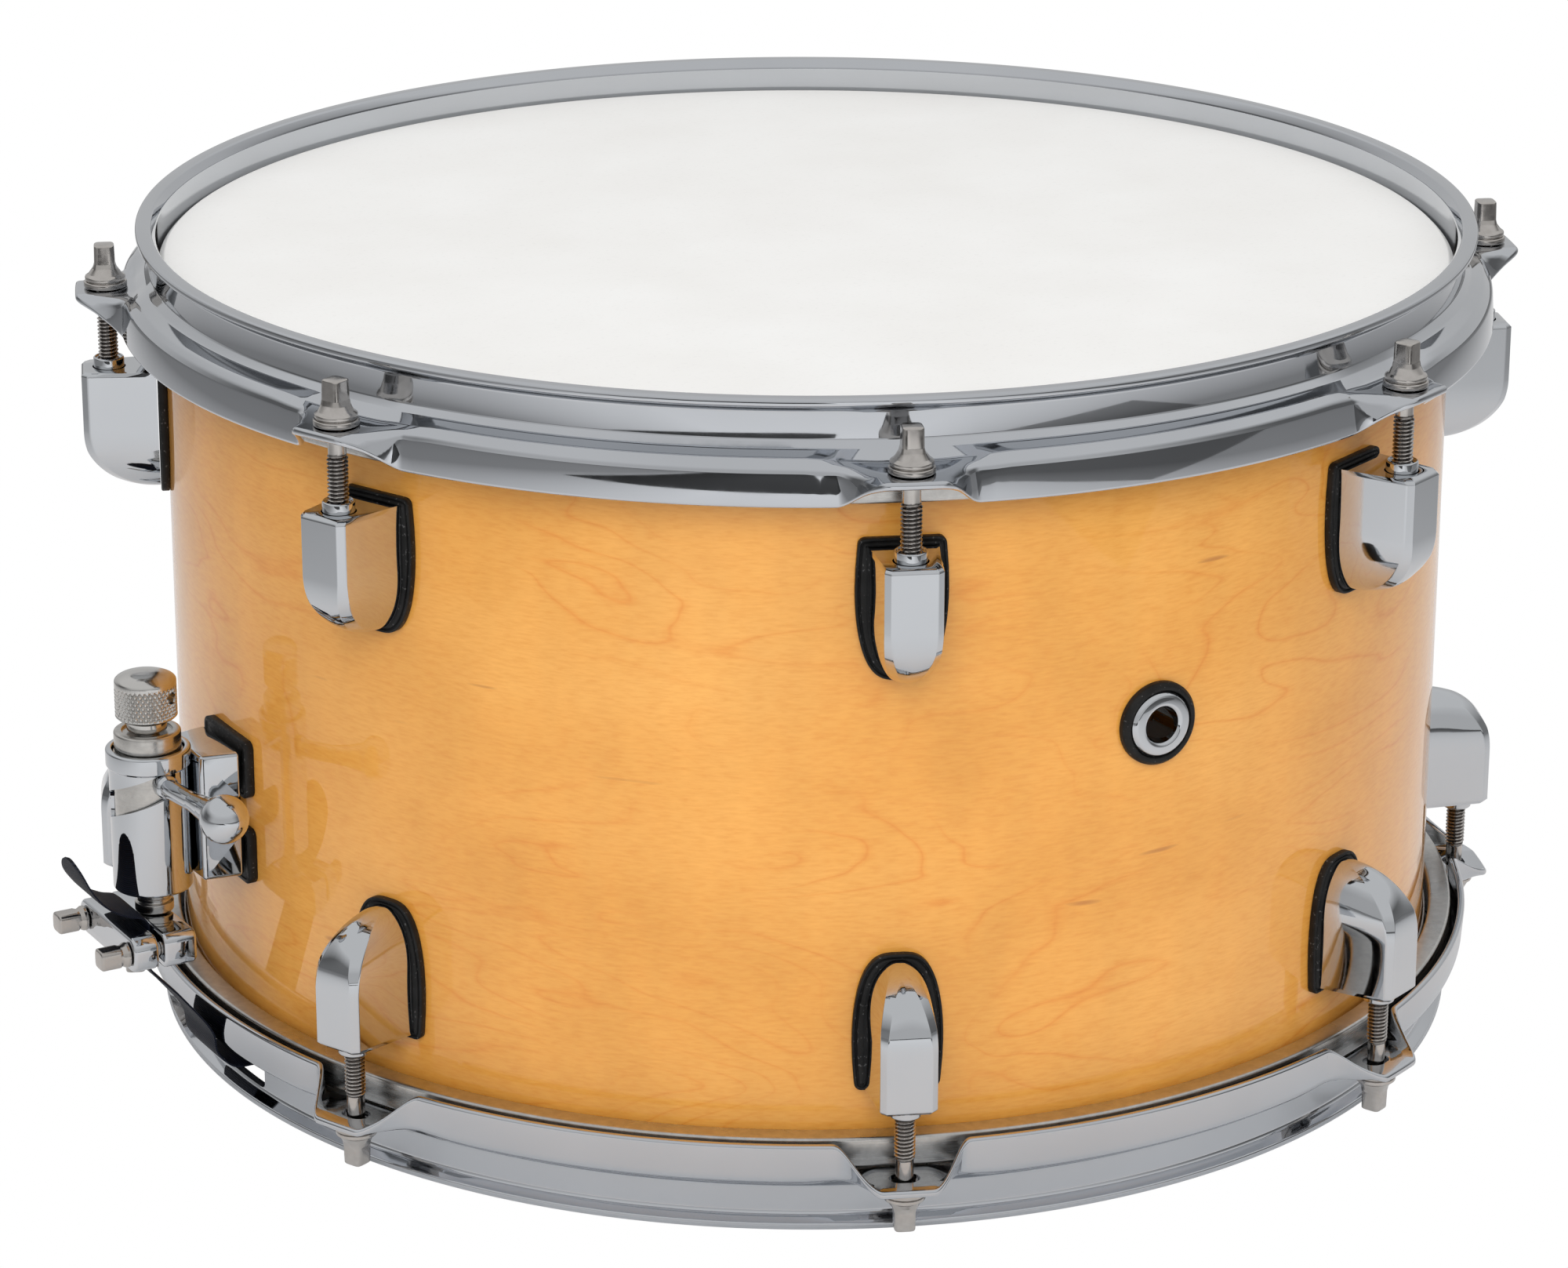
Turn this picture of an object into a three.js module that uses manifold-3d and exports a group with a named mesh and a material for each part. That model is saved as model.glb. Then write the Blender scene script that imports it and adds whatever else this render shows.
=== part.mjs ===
// Snare drum, 14 by 8 inches, as an assembly of separate named pieces. Millimetres, +Z up.
// The drum stands on its snare side. +Z is the shell's axis, the strainer is at -X, the butt plate at +X
// and the air vent at -Y. Everything is drawn about the middle of the shell's height, and the whole drum
// is then lowered so that the origin is the centre of the batter head's playing face.
import * as THREE from 'three';
import { mergeVertices } from 'three/addons/utils/BufferGeometryUtils.js';
import Module from 'manifold-3d';

const wasm = await Module();
wasm.setup();

const GAP = 0.3;
const DEG = Math.PI / 180;

// Shell and heads
const SHELL_R = 177.5;
const SHELL_HALF_HEIGHT = 101.6;
const SHELL_WALL = 7;
const BEARING_R = SHELL_R - 2;
const ROUND_OVER = 1.6;
const SNARE_BED_DEPTH = 2;
const SNARE_BED_HALF_ANGLE = 16 * DEG;
const BEARING_LAND = 0.6;
const FILM = 0.4;
const FILM_TOP = SHELL_HALF_HEIGHT + GAP + FILM;
const COLLAR_R = SHELL_R + GAP;
const COLLAR_BOTTOM = 88;
const FLESH_HOOP = { inner: 179.2, outer: 185.4, bottom: 84.8, top: 93.6 };
const RING_SEGMENTS = 56;

// Counter hoops: one folded sheet of steel
const SHEET = 2.1;
const LIP_R = 184.2;
const LIP_TOP = 111.2;
const LIP_EDGE = 1.8;
const LIP_FOOT = LIP_TOP - 3.4;
const WALL_R = 180.8;
const WALL_FOOT = 100;
const SHOULDER_R = 188.8;
const SHOULDER_Z = 95;
const SKIRT_LENGTH = 9.9;
const EAR_LENGTH = 12.2;
const EAR_PITCH = 45 * DEG;
const EAR_FLAT_HALF_ANGLE = 2 * DEG;
const EAR_BLEND_ANGLE = 3.3 * DEG;
const EAR_TOP = SHOULDER_Z;
const GATE = { halfAngle: 6.1 * DEG, low: 101, high: 107.2 };

// Lugs and tension rods, eight stations on each side
const STATIONS = 8;
const FIRST_STATION = 22.5 * DEG;
const ROD_CIRCLE_R = 192.7;
const LUG = { back: 180.2, front: 200.3, top: 72.5, bend: 54, bottom: 38.2, width: 18, face: 14.7 };
const LUG_BEVEL = 1.6;
const ROD_HOLE_R = 3.1;
const ROD = { shank: 2.35, thread: 2.6, flange: 5.5, washer: 5.9, square: 5.5, top: 107, tip: 57 };

// Air vent in the front of the shell
const VENT_Z = 17;
const VENT = { bore: 4.75, tube: 5.3, flange: 8.9, rubber: 11.1 };

// Strainer: a housing on a bracket, with a piston that the side lever lowers down a helical slot
const STRAINER_R = 201.7;
const HOUSING = { radius: 10.65, rim: 11.35, bore: 9.65, top: -10, rimFoot: -15.2, floor: -44, foot: -49.8 };
const SLOT = { start: 18 * DEG, end: -124 * DEG, height: 7.5, middle: -18.2, drop: 7, throwAngle: 100 * DEG };
const DROP_TRAVEL = 7.1;
const FINE_TRAVEL = 2.6;
const CLEARANCE = 0.5;
const PISTON = { collar: 8.95, top: -5.2, collarFoot: -10.6, core: 7.5 };
const PISTON_FOOT = HOUSING.floor + DROP_TRAVEL + CLEARANCE;
const STEM = { screw: 3, radius: 5.25, top: 3, shoulder: -44.4, neck: 4.6 };
const KNOB = { radius: 8.25, top: 10.7, bottom: -1.6, neck: 5.4, neckFoot: -4.9, dome: 2.4, edge: 0.5, pin: 1.6 };
const LEVER = { arm: 2.5, ferrule: 3.2, ball: 6.45, length: 49.3, ballZ: -14.2, cone: 4.6 };
const BRACKET = { halfWidth: 12, top: -12, bottom: -47.5, notchTop: -25.2, notchBottom: -34.8, notch: 7.5 };
const PAD = { halfAngle: 4.3 * DEG, thickness: 2.1, margin: 2.6 };

// The strap clamps at the strainer's stem and at the butt plate
const CLAMP = { halfWidth: 19, top: -57, bottom: -66.6 };
const CLAMP_SCREW = { y: 14.6, head: 6.2, length: 8.6, shank: 1.9, collar: 2 };
const CLAMP_SLIT = 6.1;
const CLAMP_BACK = 4;
const CLAMP_PLATE = 7.2;
const BUTT = { halfWidth: 19, back: 180.2, slit: 190.2, plate: 6.5, top: -55.3, bottom: -68.3 };

// Straps and snare wires
const STRAP = { halfWidth: 10, thickness: 0.8 };
const STRAND = { count: 20, pitch: 1.95, radius: 0.85, halfLength: 157 };
const WIRES_Z = -(FILM_TOP + GAP + STRAND.radius + 0.2);
const END_PLATE = { length: 12, halfWidth: 21.5, thickness: 1.1 };

const finish = (color, roughness, metalness) => new THREE.MeshStandardMaterial({ color, roughness, metalness });
const CHROME = finish(0xdfe3e8, 0.08, 1);
const STEEL = finish(0xb9b4ac, 0.28, 1);
const NICKEL = finish(0xa9a39b, 0.22, 1);
const ALUMINIUM = finish(0xc9c7c3, 0.35, 1);
const MAPLE = finish(0xd9973f, 0.18, 0);
const COATED_FILM = finish(0xefede8, 0.75, 0);
const CLEAR_FILM = finish(0xdcdcd6, 0.3, 0);
const RUBBER = finish(0x161616, 0.7, 0);
const WEBBING = finish(0x12151f, 0.85, 0);

// ---- solids ----

// Turns a closed geometry's faces outward, whichever way its outline was drawn.
function facingOut(geometry) {
  const { position } = geometry.attributes;
  const index = geometry.index.array;
  const corner = (i) => new THREE.Vector3().fromBufferAttribute(position, index[i]);
  let volume = 0;
  for (let i = 0; i < index.length; i += 3) volume += corner(i).dot(corner(i + 1).cross(corner(i + 2)));
  if (volume > 0) return geometry;
  for (let i = 0; i < index.length; i += 3) [index[i], index[i + 1]] = [index[i + 1], index[i]];
  geometry.computeVertexNormals();
  return geometry;
}

function toSolid(geometry) {
  const bare = geometry.clone();
  bare.deleteAttribute('normal');
  bare.deleteAttribute('uv');
  const merged = mergeVertices(bare.index ? bare : mergeVertices(bare), 1e-4);
  const vertProperties = new Float32Array(merged.attributes.position.array);
  const triVerts = new Uint32Array(merged.index.array);
  return new wasm.Manifold(new wasm.Mesh({ numProp: 3, vertProperties, triVerts }));
}

function toGeometry(solid) {
  const mesh = solid.getMesh();
  const geometry = new THREE.BufferGeometry();
  geometry.setAttribute('position', new THREE.BufferAttribute(new Float32Array(mesh.vertProperties), 3));
  geometry.setIndex(new THREE.BufferAttribute(new Uint32Array(mesh.triVerts), 1));
  geometry.computeVertexNormals();
  return geometry;
}

const cut = (geometry, ...tools) => toGeometry(tools.reduce((s, t) => s.subtract(toSolid(t)), toSolid(geometry)));
const join = (...parts) => toGeometry(parts.map(toSolid).reduce((a, b) => a.add(b)));
const common = (...parts) => toGeometry(parts.map(toSolid).reduce((a, b) => a.intersect(b)));

function box(x0, x1, y0, y1, z0, z1) {
  const geometry = new THREE.BoxGeometry(x1 - x0, y1 - y0, z1 - z0);
  return geometry.translate((x0 + x1) / 2, (y0 + y1) / 2, (z0 + z1) / 2);
}

function rod(radius, z0, z1, sides = 24, x = 0, y = 0) {
  const geometry = new THREE.CylinderGeometry(radius, radius, z1 - z0, sides);
  return geometry.rotateX(Math.PI / 2).translate(x, y, (z0 + z1) / 2);
}

// A solid of revolution about Z from points of radius and height.
function turned(points, segments = RING_SEGMENTS) {
  const profile = points.map(([r, z]) => new THREE.Vector2(r, z));
  return facingOut(new THREE.LatheGeometry(profile, segments).rotateX(Math.PI / 2));
}

// A closed ring of revolution: the profile comes back to its first point.
const ring = (points, segments) => turned([...points, points[0]], segments);

// Solids extruded from a flat outline of [a, b] points.
function prism(points, depth) {
  const shape = new THREE.Shape(points.map(([a, b]) => new THREE.Vector2(a, b)));
  return new THREE.ExtrudeGeometry(shape, { depth, bevelEnabled: false, steps: 1 });
}
const prismAlongZ = (points, z0, z1) => prism(points, z1 - z0).translate(0, 0, z0);
const prismAlongY = (points, y0, y1) => prism(points, y1 - y0).rotateX(Math.PI / 2).translate(0, y1, 0);
const prismAlongX = (points, x0, x1) => {
  const geometry = prism(points, x1 - x0);
  return geometry.rotateX(Math.PI / 2).rotateZ(Math.PI / 2).translate(x0, 0, 0);
};

// A closed solid through a row of loops with equal point counts: a ring, or a bar with flat ends.
function loft(loops, closed) {
  const count = loops[0].length;
  const positions = loops.flat().flatMap((p) => [p.x, p.y, p.z]);
  const index = [];
  const last = closed ? loops.length : loops.length - 1;
  for (let i = 0; i < last; i++) {
    const next = (i + 1) % loops.length;
    for (let j = 0; j < count; j++) {
      const k = (j + 1) % count;
      index.push(i * count + j, next * count + j, next * count + k);
      index.push(i * count + j, next * count + k, i * count + k);
    }
  }
  if (!closed) {
    const end = (loops.length - 1) * count;
    for (let j = 1; j < count - 1; j++) {
      index.push(0, j, j + 1);
      index.push(end, end + j + 1, end + j);
    }
  }
  const geometry = new THREE.BufferGeometry();
  geometry.setAttribute('position', new THREE.BufferAttribute(new Float32Array(positions), 3));
  geometry.setIndex(index);
  return facingOut(geometry);
}

const polar = (angle, r, z) => new THREE.Vector3(r * Math.cos(angle), r * Math.sin(angle), z);
const smooth = (t) => t * t * (3 - 2 * t);

function place(parent, name, geometry, material) {
  const mesh = new THREE.Mesh(geometry, material);
  mesh.name = name;
  parent.add(mesh);
  return mesh;
}

function group(parent, rotation = [0, 0, 0], position = [0, 0, 0]) {
  const made = new THREE.Group();
  made.rotation.set(...rotation);
  made.position.set(...position);
  parent.add(made);
  return made;
}

// ---- shell, heads and flesh hoops ----

// Plies bevelled at 45 degrees inside and rounded over outside. The lower edge dips at the snare beds.
function shellGeometry() {
  const h = SHELL_HALF_HEIGHT;
  const inner = SHELL_R - SHELL_WALL;
  const bevel = BEARING_R - inner;
  const half = [[inner, h - bevel], [BEARING_R, h], [SHELL_R - BEARING_LAND, h - GAP], [SHELL_R, h - ROUND_OVER]];
  const mirrored = half.map(([r, z]) => [r, -z]).reverse();
  const geometry = ring([...mirrored, ...half]);
  const position = geometry.attributes.position;
  for (let i = 0; i < position.count; i++) {
    const offAxis = Math.abs(Math.atan2(position.getY(i), Math.abs(position.getX(i))));
    if (position.getZ(i) > 0 || offAxis > SNARE_BED_HALF_ANGLE) continue;
    const bed = SNARE_BED_DEPTH * Math.cos((offAxis / SNARE_BED_HALF_ANGLE) * Math.PI / 2) ** 2;
    position.setZ(i, position.getZ(i) + bed);
  }
  const ventHole = rod(VENT.tube + GAP, 0, SHELL_R + 10, 24).rotateX(Math.PI / 2).translate(0, 0, VENT_Z);
  return cut(geometry, ventHole);
}

function filmGeometry() {
  const low = FILM_TOP - FILM;
  const collar = COLLAR_R + FILM;
  return turned([
    [0, low], [SHELL_R - 1, low], [COLLAR_R, low - 0.7], [COLLAR_R, COLLAR_BOTTOM],
    [collar, COLLAR_BOTTOM], [collar, low - 0.5], [SHELL_R - 0.8, FILM_TOP], [0, FILM_TOP],
  ]);
}

function fleshHoopGeometry() {
  const f = FLESH_HOOP;
  return ring([[f.inner, f.bottom], [f.outer, f.bottom], [f.outer, f.top - 0.8], [f.inner, f.top]]);
}

// ---- counter hoops ----

// 0 between the ears, 1 on an ear's flat. The angle is measured from the strainer's axis.
function earAmount(angle) {
  const fromEar = Math.abs(((angle / EAR_PITCH) % 1 + 1) % 1 - 0.5) * EAR_PITCH;
  const t = (fromEar - EAR_FLAT_HALF_ANGLE) / EAR_BLEND_ANGLE;
  return 1 - smooth(Math.min(1, Math.max(0, t)));
}

// The folded sheet's section: an outward lip, a wall, a flange, and a skirt that swings out into an ear.
function hoopSection(ear) {
  const swing = (4 + 86 * ear) * DEG;
  const reach = SKIRT_LENGTH + (EAR_LENGTH - SKIRT_LENGTH) * ear;
  const along = [Math.sin(swing), -Math.cos(swing)];
  const end = [SHOULDER_R + reach * along[0], SHOULDER_Z + reach * along[1]];
  const inside = WALL_R - SHEET;
  // The flange falls to the skirt in a round shoulder. At an ear it flattens to seat the rod's washer.
  const mix = (plain, flat) => plain + (flat - plain) * ear;
  const flange = [mix(SHOULDER_R - 2.4, SHOULDER_R - 3.8), mix(WALL_FOOT - 2.9, EAR_TOP + 0.1)];
  const under = [mix(SHOULDER_R - SHEET, SHOULDER_R - 4), mix(SHOULDER_Z - 1, EAR_TOP - 1.7)];
  return [
    [LIP_R, LIP_TOP], [LIP_R, LIP_TOP - LIP_EDGE], [WALL_R, LIP_FOOT],
    [WALL_R, WALL_FOOT], [mix(WALL_R + 2, WALL_R + 1.2), WALL_FOOT - 1.8], flange,
    [SHOULDER_R, SHOULDER_Z], end, [end[0] + SHEET * along[1], end[1] - SHEET * along[0]],
    under, [inside, WALL_FOOT - 2.6], [inside, LIP_FOOT + 1],
    [inside + LIP_EDGE, LIP_TOP],
  ];
}

// Angles around the hoop: close together where the skirt swings out, wide apart between the ears.
function hoopAngles() {
  const angles = [];
  const swingSteps = 3;
  const plainSteps = 5;
  const edge = EAR_FLAT_HALF_ANGLE + EAR_BLEND_ANGLE;
  for (let ear = 0; ear < STATIONS; ear++) {
    const centre = (ear + 0.5) * EAR_PITCH;
    for (let i = 0; i <= swingSteps; i++) angles.push(centre - edge + (i * EAR_BLEND_ANGLE) / swingSteps);
    for (let i = 0; i <= swingSteps; i++) {
      angles.push(centre + EAR_FLAT_HALF_ANGLE + (i * EAR_BLEND_ANGLE) / swingSteps);
    }
    const plain = EAR_PITCH - 2 * edge;
    for (let i = 1; i < plainSteps; i++) angles.push(centre + edge + (i * plain) / plainSteps);
  }
  return angles;
}

function hoopGeometry(withGates) {
  const loops = hoopAngles().map((angle) => hoopSection(earAmount(angle)).map(([r, z]) => polar(angle, r, z)));
  const tools = [];
  for (let ear = 0; ear < STATIONS; ear++) {
    const angle = (ear + 0.5) * EAR_PITCH;
    const x = ROD_CIRCLE_R * Math.cos(angle);
    const y = ROD_CIRCLE_R * Math.sin(angle);
    tools.push(rod(ROD_HOLE_R, EAR_TOP - 6, EAR_TOP + 6, 8, x, y));
  }
  if (withGates) {
    const reach = WALL_R * Math.sin(GATE.halfAngle);
    tools.push(box(-WALL_R - 5, WALL_R + 5, -reach, reach, GATE.low, GATE.high));
  }
  return cut(loft(loops, true), ...tools);
}

// ---- lugs and tension rods, drawn with X outward from the drum's axis ----

// A cast lug: flat front, bevelled front edges, and a lower end that rounds back to the shell.
function lugGeometry() {
  const reach = LUG.front - LUG.back;
  const drop = LUG.bend - LUG.bottom;
  const side = [[LUG.back, LUG.top], [LUG.back, LUG.bottom]];
  const steps = 4;
  for (let i = 1; i <= steps; i++) {
    const t = (i / steps) * Math.PI / 2;
    side.push([LUG.back + reach * Math.sin(t), LUG.bend - drop * Math.cos(t)]);
  }
  side.push([LUG.front, LUG.top - 0.7], [LUG.front - 0.7, LUG.top]);
  const wide = LUG.width / 2;
  const narrow = LUG.face / 2;
  const plan = [
    [LUG.back, -wide], [LUG.front - LUG_BEVEL, -narrow], [LUG.front, -narrow + LUG_BEVEL],
    [LUG.front, narrow - LUG_BEVEL], [LUG.front - LUG_BEVEL, narrow], [LUG.back, wide],
  ];
  const outline = [[-wide, LUG.top], [-wide, LUG.bend]];
  for (let i = 1; i < 2 * steps; i++) {
    const t = (i / (2 * steps)) * Math.PI;
    const shrink = Math.sign(Math.cos(t)) * Math.abs(Math.cos(t)) ** 0.75;
    outline.push([-wide * shrink, LUG.bend - drop * Math.sin(t)]);
  }
  outline.push([wide, LUG.bend], [wide, LUG.top]);
  const blank = common(
    prismAlongY(side, -wide, wide),
    prismAlongZ(plan, LUG.bottom, LUG.top),
    prismAlongX(outline, LUG.back, LUG.front),
  );
  return cut(blank, rod(ROD_HOLE_R, ROD.tip - 2, LUG.top + 5, 10, ROD_CIRCLE_R, 0));
}

// A key rod: square head, cone, flange and washer in one piece with the shank and the threaded end.
function tensionRodGeometry() {
  const seat = EAR_TOP + GAP;
  const shaft = turned([
    [0, ROD.tip], [ROD.thread, ROD.tip], [ROD.thread, EAR_TOP - 8], [ROD.shank, EAR_TOP - 8],
    [ROD.shank, seat], [ROD.washer, seat], [ROD.washer, seat + 1.4], [ROD.flange, seat + 2.5],
    [ROD.square / 2, seat + 5.4], [0, seat + 5.4],
  ], 10);
  const head = new THREE.CylinderGeometry(1, 1, 1, 4, 1).rotateX(Math.PI / 2).rotateZ(Math.PI / 4);
  const corner = ROD.square / Math.SQRT2;
  const low = seat + 3.5;
  head.scale(corner, corner, ROD.top - low).translate(0, 0, (ROD.top + low) / 2);
  return join(shaft, head);
}

// Everything on one playing side, drawn for the batter side. The snare side is the same, turned over.
function addSide(parent, prefix, { filmMaterial, withGates }) {
  place(parent, `${prefix}_head_film`, filmGeometry(), filmMaterial);
  place(parent, `${prefix}_flesh_hoop`, fleshHoopGeometry(), ALUMINIUM);
  place(parent, `${prefix}_hoop`, hoopGeometry(withGates), CHROME);
  const lug = lugGeometry();
  const key = tensionRodGeometry();
  for (let i = 0; i < STATIONS; i++) {
    const station = group(parent, [0, 0, FIRST_STATION + i * EAR_PITCH]);
    place(station, `${prefix}_lug_${i + 1}`, lug, CHROME);
    place(station, `${prefix}_tension_rod_${i + 1}`, key, NICKEL).position.set(ROD_CIRCLE_R, 0, 0);
  }
}

// ---- air vent ----

function addVent(parent) {
  // Turned about Z, then laid over so that +Z points out of the shell at -Y.
  const vent = group(parent, [Math.PI / 2, 0, 0], [0, 0, VENT_Z]);
  const face = SHELL_R + 0.6;
  const inside = SHELL_R - SHELL_WALL - 1.5;
  const v = VENT;
  place(vent, 'vent_grommet', ring([
    [v.bore, inside], [v.tube, inside], [v.tube, face + 0.9], [v.flange, face + 0.9],
    [v.flange - 0.6, face + 2.2], [v.bore, face + 1.7],
  ], 24), CHROME);
}

// ---- strainer, drawn with X outward, so that the lever points along its own +Y ----

const slotAngle = (throwBack) => Math.PI / 2 - throwBack;
const slotMiddle = (throwBack) => SLOT.middle - (SLOT.drop * throwBack) / SLOT.throwAngle;

// The helical band that the lever sweeps, cut right through the housing's wall.
function slotTool() {
  const loops = [];
  const steps = 14;
  for (let i = 0; i <= steps; i++) {
    const throwBack = -SLOT.start + ((SLOT.start - SLOT.end) * i) / steps;
    const low = slotMiddle(throwBack) - SLOT.height / 2;
    const high = low + SLOT.height;
    const angle = slotAngle(throwBack);
    const near = HOUSING.bore - 2;
    const far = HOUSING.rim + 2;
    loops.push([polar(angle, near, low), polar(angle, near, high), polar(angle, far, high), polar(angle, far, low)]);
  }
  return loft(loops, false);
}

function addHousing(parent) {
  const h = HOUSING;
  const neck = STEM.radius + GAP;
  const body = ring([
    [neck, h.foot], [h.radius, h.foot], [h.radius, h.rimFoot], [h.rim, h.rimFoot + 0.6], [h.rim, h.top],
    [h.bore, h.top], [h.bore, h.floor], [neck, h.floor],
  ], 28);
  place(parent, 'strainer_housing', cut(body, slotTool()), CHROME);

  const b = BRACKET;
  const shellSide = LUG.back - STRAINER_R;
  const web = -h.rim - GAP;
  const notch = shellSide + b.notch;
  place(parent, 'strainer_bracket', prismAlongY([
    [shellSide, b.top], [shellSide, b.notchTop], [notch, b.notchTop], [notch, b.notchBottom],
    [shellSide, b.notchBottom], [shellSide, b.bottom], [web, b.bottom], [web, b.top],
  ], -b.halfWidth, b.halfWidth), CHROME);

  // One rubber gasket on the shell: a pad under each foot of the bracket and a narrow strip between them.
  const pad = (halfAngle, low, high) => loft([-1, -0.5, 0, 0.5, 1].map((side) => {
    const near = SHELL_R + GAP;
    const far = near + PAD.thickness;
    return [[far, low], [far, high], [near, high], [near, low]].map(([r, z]) => polar(side * halfAngle, r, z));
  }), false);
  const gasket = join(
    pad(PAD.halfAngle, b.notchTop - 0.4, b.top + PAD.margin),
    pad(PAD.halfAngle, b.bottom - PAD.margin, b.notchBottom + 0.4),
    pad(PAD.halfAngle / 3, b.notchBottom - 1, b.notchTop + 1),
  );
  place(parent, 'strainer_gasket', gasket.translate(-STRAINER_R, 0, 0), RUBBER);
}

function addThrowOff(parent) {
  const p = PISTON;
  const bore = STEM.screw + GAP;
  place(parent, 'strainer_piston', ring([
    [bore, PISTON_FOOT], [p.core, PISTON_FOOT], [p.core, p.collarFoot], [p.collar, p.collarFoot],
    [p.collar, p.top - 0.6], [p.collar - 0.6, p.top], [bore, p.top],
  ], 24), STEEL);
  place(parent, 'cam_sleeve', ring([
    [p.core + GAP, PISTON_FOOT], [HOUSING.bore - GAP, PISTON_FOOT], [HOUSING.bore - GAP, p.collarFoot - GAP],
    [p.core + GAP, p.collarFoot - GAP],
  ], 28), STEEL);

  const root = new THREE.Vector3(0, HOUSING.bore, SLOT.middle);
  const ball = new THREE.Vector3(0, LEVER.length, LEVER.ballZ);
  const direction = ball.clone().sub(root);
  const reach = direction.length();
  const l = LEVER;
  const profile = [
    [0, 0], [l.ferrule, 0.4], [l.ferrule, 3.6], [l.arm, 3.6], [l.arm + 0.1, reach * 0.55],
    [l.cone, reach - Math.sqrt(l.ball ** 2 - l.cone ** 2)],
  ];
  const steps = 7;
  const start = Math.asin(l.cone / l.ball);
  for (let i = 1; i <= steps; i++) {
    const t = Math.PI - start - ((Math.PI - start) * i) / steps;
    profile.push([i === steps ? 0 : l.ball * Math.sin(t), reach + l.ball * Math.cos(t)]);
  }
  const lever = place(parent, 'throw_lever', turned(profile, 16), CHROME);
  lever.position.copy(root);
  lever.quaternion.setFromUnitVectors(new THREE.Vector3(0, 0, 1), direction.normalize());
}

function addTensionKnob(parent) {
  const k = KNOB;
  const bore = STEM.screw + GAP;
  const boreTop = STEM.top + FINE_TRAVEL + CLEARANCE;
  const body = turned([
    [0, boreTop], [bore, boreTop], [bore, k.neckFoot], [k.neck, k.neckFoot], [k.neck, k.bottom],
    [k.radius - k.edge, k.bottom], [k.radius, k.bottom + k.edge], [k.radius, k.top - k.dome],
    [k.radius - k.dome / 2, k.top - 0.9], [k.radius / 2, k.top - 0.2], [0, k.top],
  ], 24);
  const pinHole = rod(k.pin, k.radius - 2.5, k.radius + 1, 12).rotateX(Math.PI / 2).rotateZ(215 * DEG);
  place(parent, 'tension_knob', cut(body, pinHole.translate(0, 0, (k.top + k.bottom) / 2)), STEEL);
}

// The outline of a strap of even thickness that follows a row of [x, z] points.
function ribbonOutline(points, thickness) {
  const curve = new THREE.CatmullRomCurve3(points.map(([x, z]) => new THREE.Vector3(x, 0, z)), false, 'centripetal');
  const steps = points.length * 2;
  const left = [];
  const right = [];
  for (let i = 0; i <= steps; i++) {
    const p = curve.getPoint(i / steps);
    const t = curve.getTangent(i / steps);
    left.push([p.x - (t.z * thickness) / 2, p.z + (t.x * thickness) / 2]);
    right.push([p.x + (t.z * thickness) / 2, p.z - (t.x * thickness) / 2]);
  }
  return [...left, ...right.reverse()];
}

function strap(points) {
  return prismAlongY(ribbonOutline(points, STRAP.thickness), -STRAP.halfWidth, STRAP.halfWidth);
}

// Two square-headed screws through a clamp. X is outward, and the plate's outer face is at x.
function addClampScrews(parent, prefix, x, depth, z) {
  const s = CLAMP_SCREW;
  const half = s.head / 2;
  const square = half * 0.9;
  for (const [name, side] of [['left', -1], ['right', 1]]) {
    const shank = rod(s.shank, x - depth, x + 1, 10);
    const collar = rod(half, x + GAP, x + s.collar, 12);
    const head = box(-square, square, -square, square, x + 1, x + s.length);
    const screw = join(shank, collar, head).rotateY(Math.PI / 2).translate(0, side * s.y, z);
    place(parent, `${prefix}_screw_${name}`, screw, NICKEL);
  }
}

// A bar with two holes for the clamp screws, from x0 to x1.
function clampBar(x0, x1, halfWidth, low, high) {
  const holes = [-1, 1].map((side) => {
    const hole = rod(CLAMP_SCREW.shank + GAP, x0 - 1, x1 + 1, 10).rotateY(Math.PI / 2);
    return hole.translate(0, side * CLAMP_SCREW.y, (low + high) / 2);
  });
  return cut(box(x0, x1, -halfWidth, halfWidth, low, high), ...holes);
}

function addStrainerClamp(parent) {
  const c = CLAMP;
  const s = STEM;
  const slit = STRAP.thickness + 2 * GAP;
  place(parent, 'adjuster_stem', turned([
    [0, c.top + GAP], [s.radius, c.top + GAP], [s.radius, c.top + 3], [s.neck, c.top + 3.4], [s.neck, c.top + 4.2],
    [s.radius, c.top + 4.6], [s.radius, s.shoulder], [s.screw, s.shoulder], [s.screw, s.top], [0, s.top],
  ], 20), STEEL);
  const block = clampBar(-CLAMP_BACK, CLAMP_SLIT - slit / 2, c.halfWidth, c.bottom, c.top);
  place(parent, 'strap_clamp_block', block, CHROME);
  const faceX = CLAMP_SLIT + slit / 2 + CLAMP_PLATE;
  place(parent, 'strap_clamp_plate', clampBar(CLAMP_SLIT + slit / 2, faceX, c.halfWidth, c.bottom, c.top), CHROME);
  addClampScrews(parent, 'strap_clamp', faceX, faceX + CLAMP_BACK - 1, (c.top + c.bottom) / 2);
}

// Strap centrelines as [distance outward from the drum's axis, height].
const MID_CLAMP = (CLAMP.top + CLAMP.bottom) / 2;
const OUTSIDE_SHOULDER = SHOULDER_R + 1.6;
const GATE_MIDDLE = -(GATE.low + GATE.high) / 2;
const STRAP_INNER_END = STRAND.halfLength + END_PLATE.length + 1;
const strapToGate = (x, z) => [
  [x, z], [x, z - 2.5], [x, z - 5], [x, z - 7.5], [(x + OUTSIDE_SHOULDER) / 2, z - 18],
  [OUTSIDE_SHOULDER, 3 - SHOULDER_Z], [OUTSIDE_SHOULDER - 1.2, -SHOULDER_Z - 3],
  [OUTSIDE_SHOULDER - 6, GATE_MIDDLE + 1], [WALL_R - 2, GATE_MIDDLE + 0.4], [STRAP_INNER_END, WIRES_Z - 0.1],
];

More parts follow.
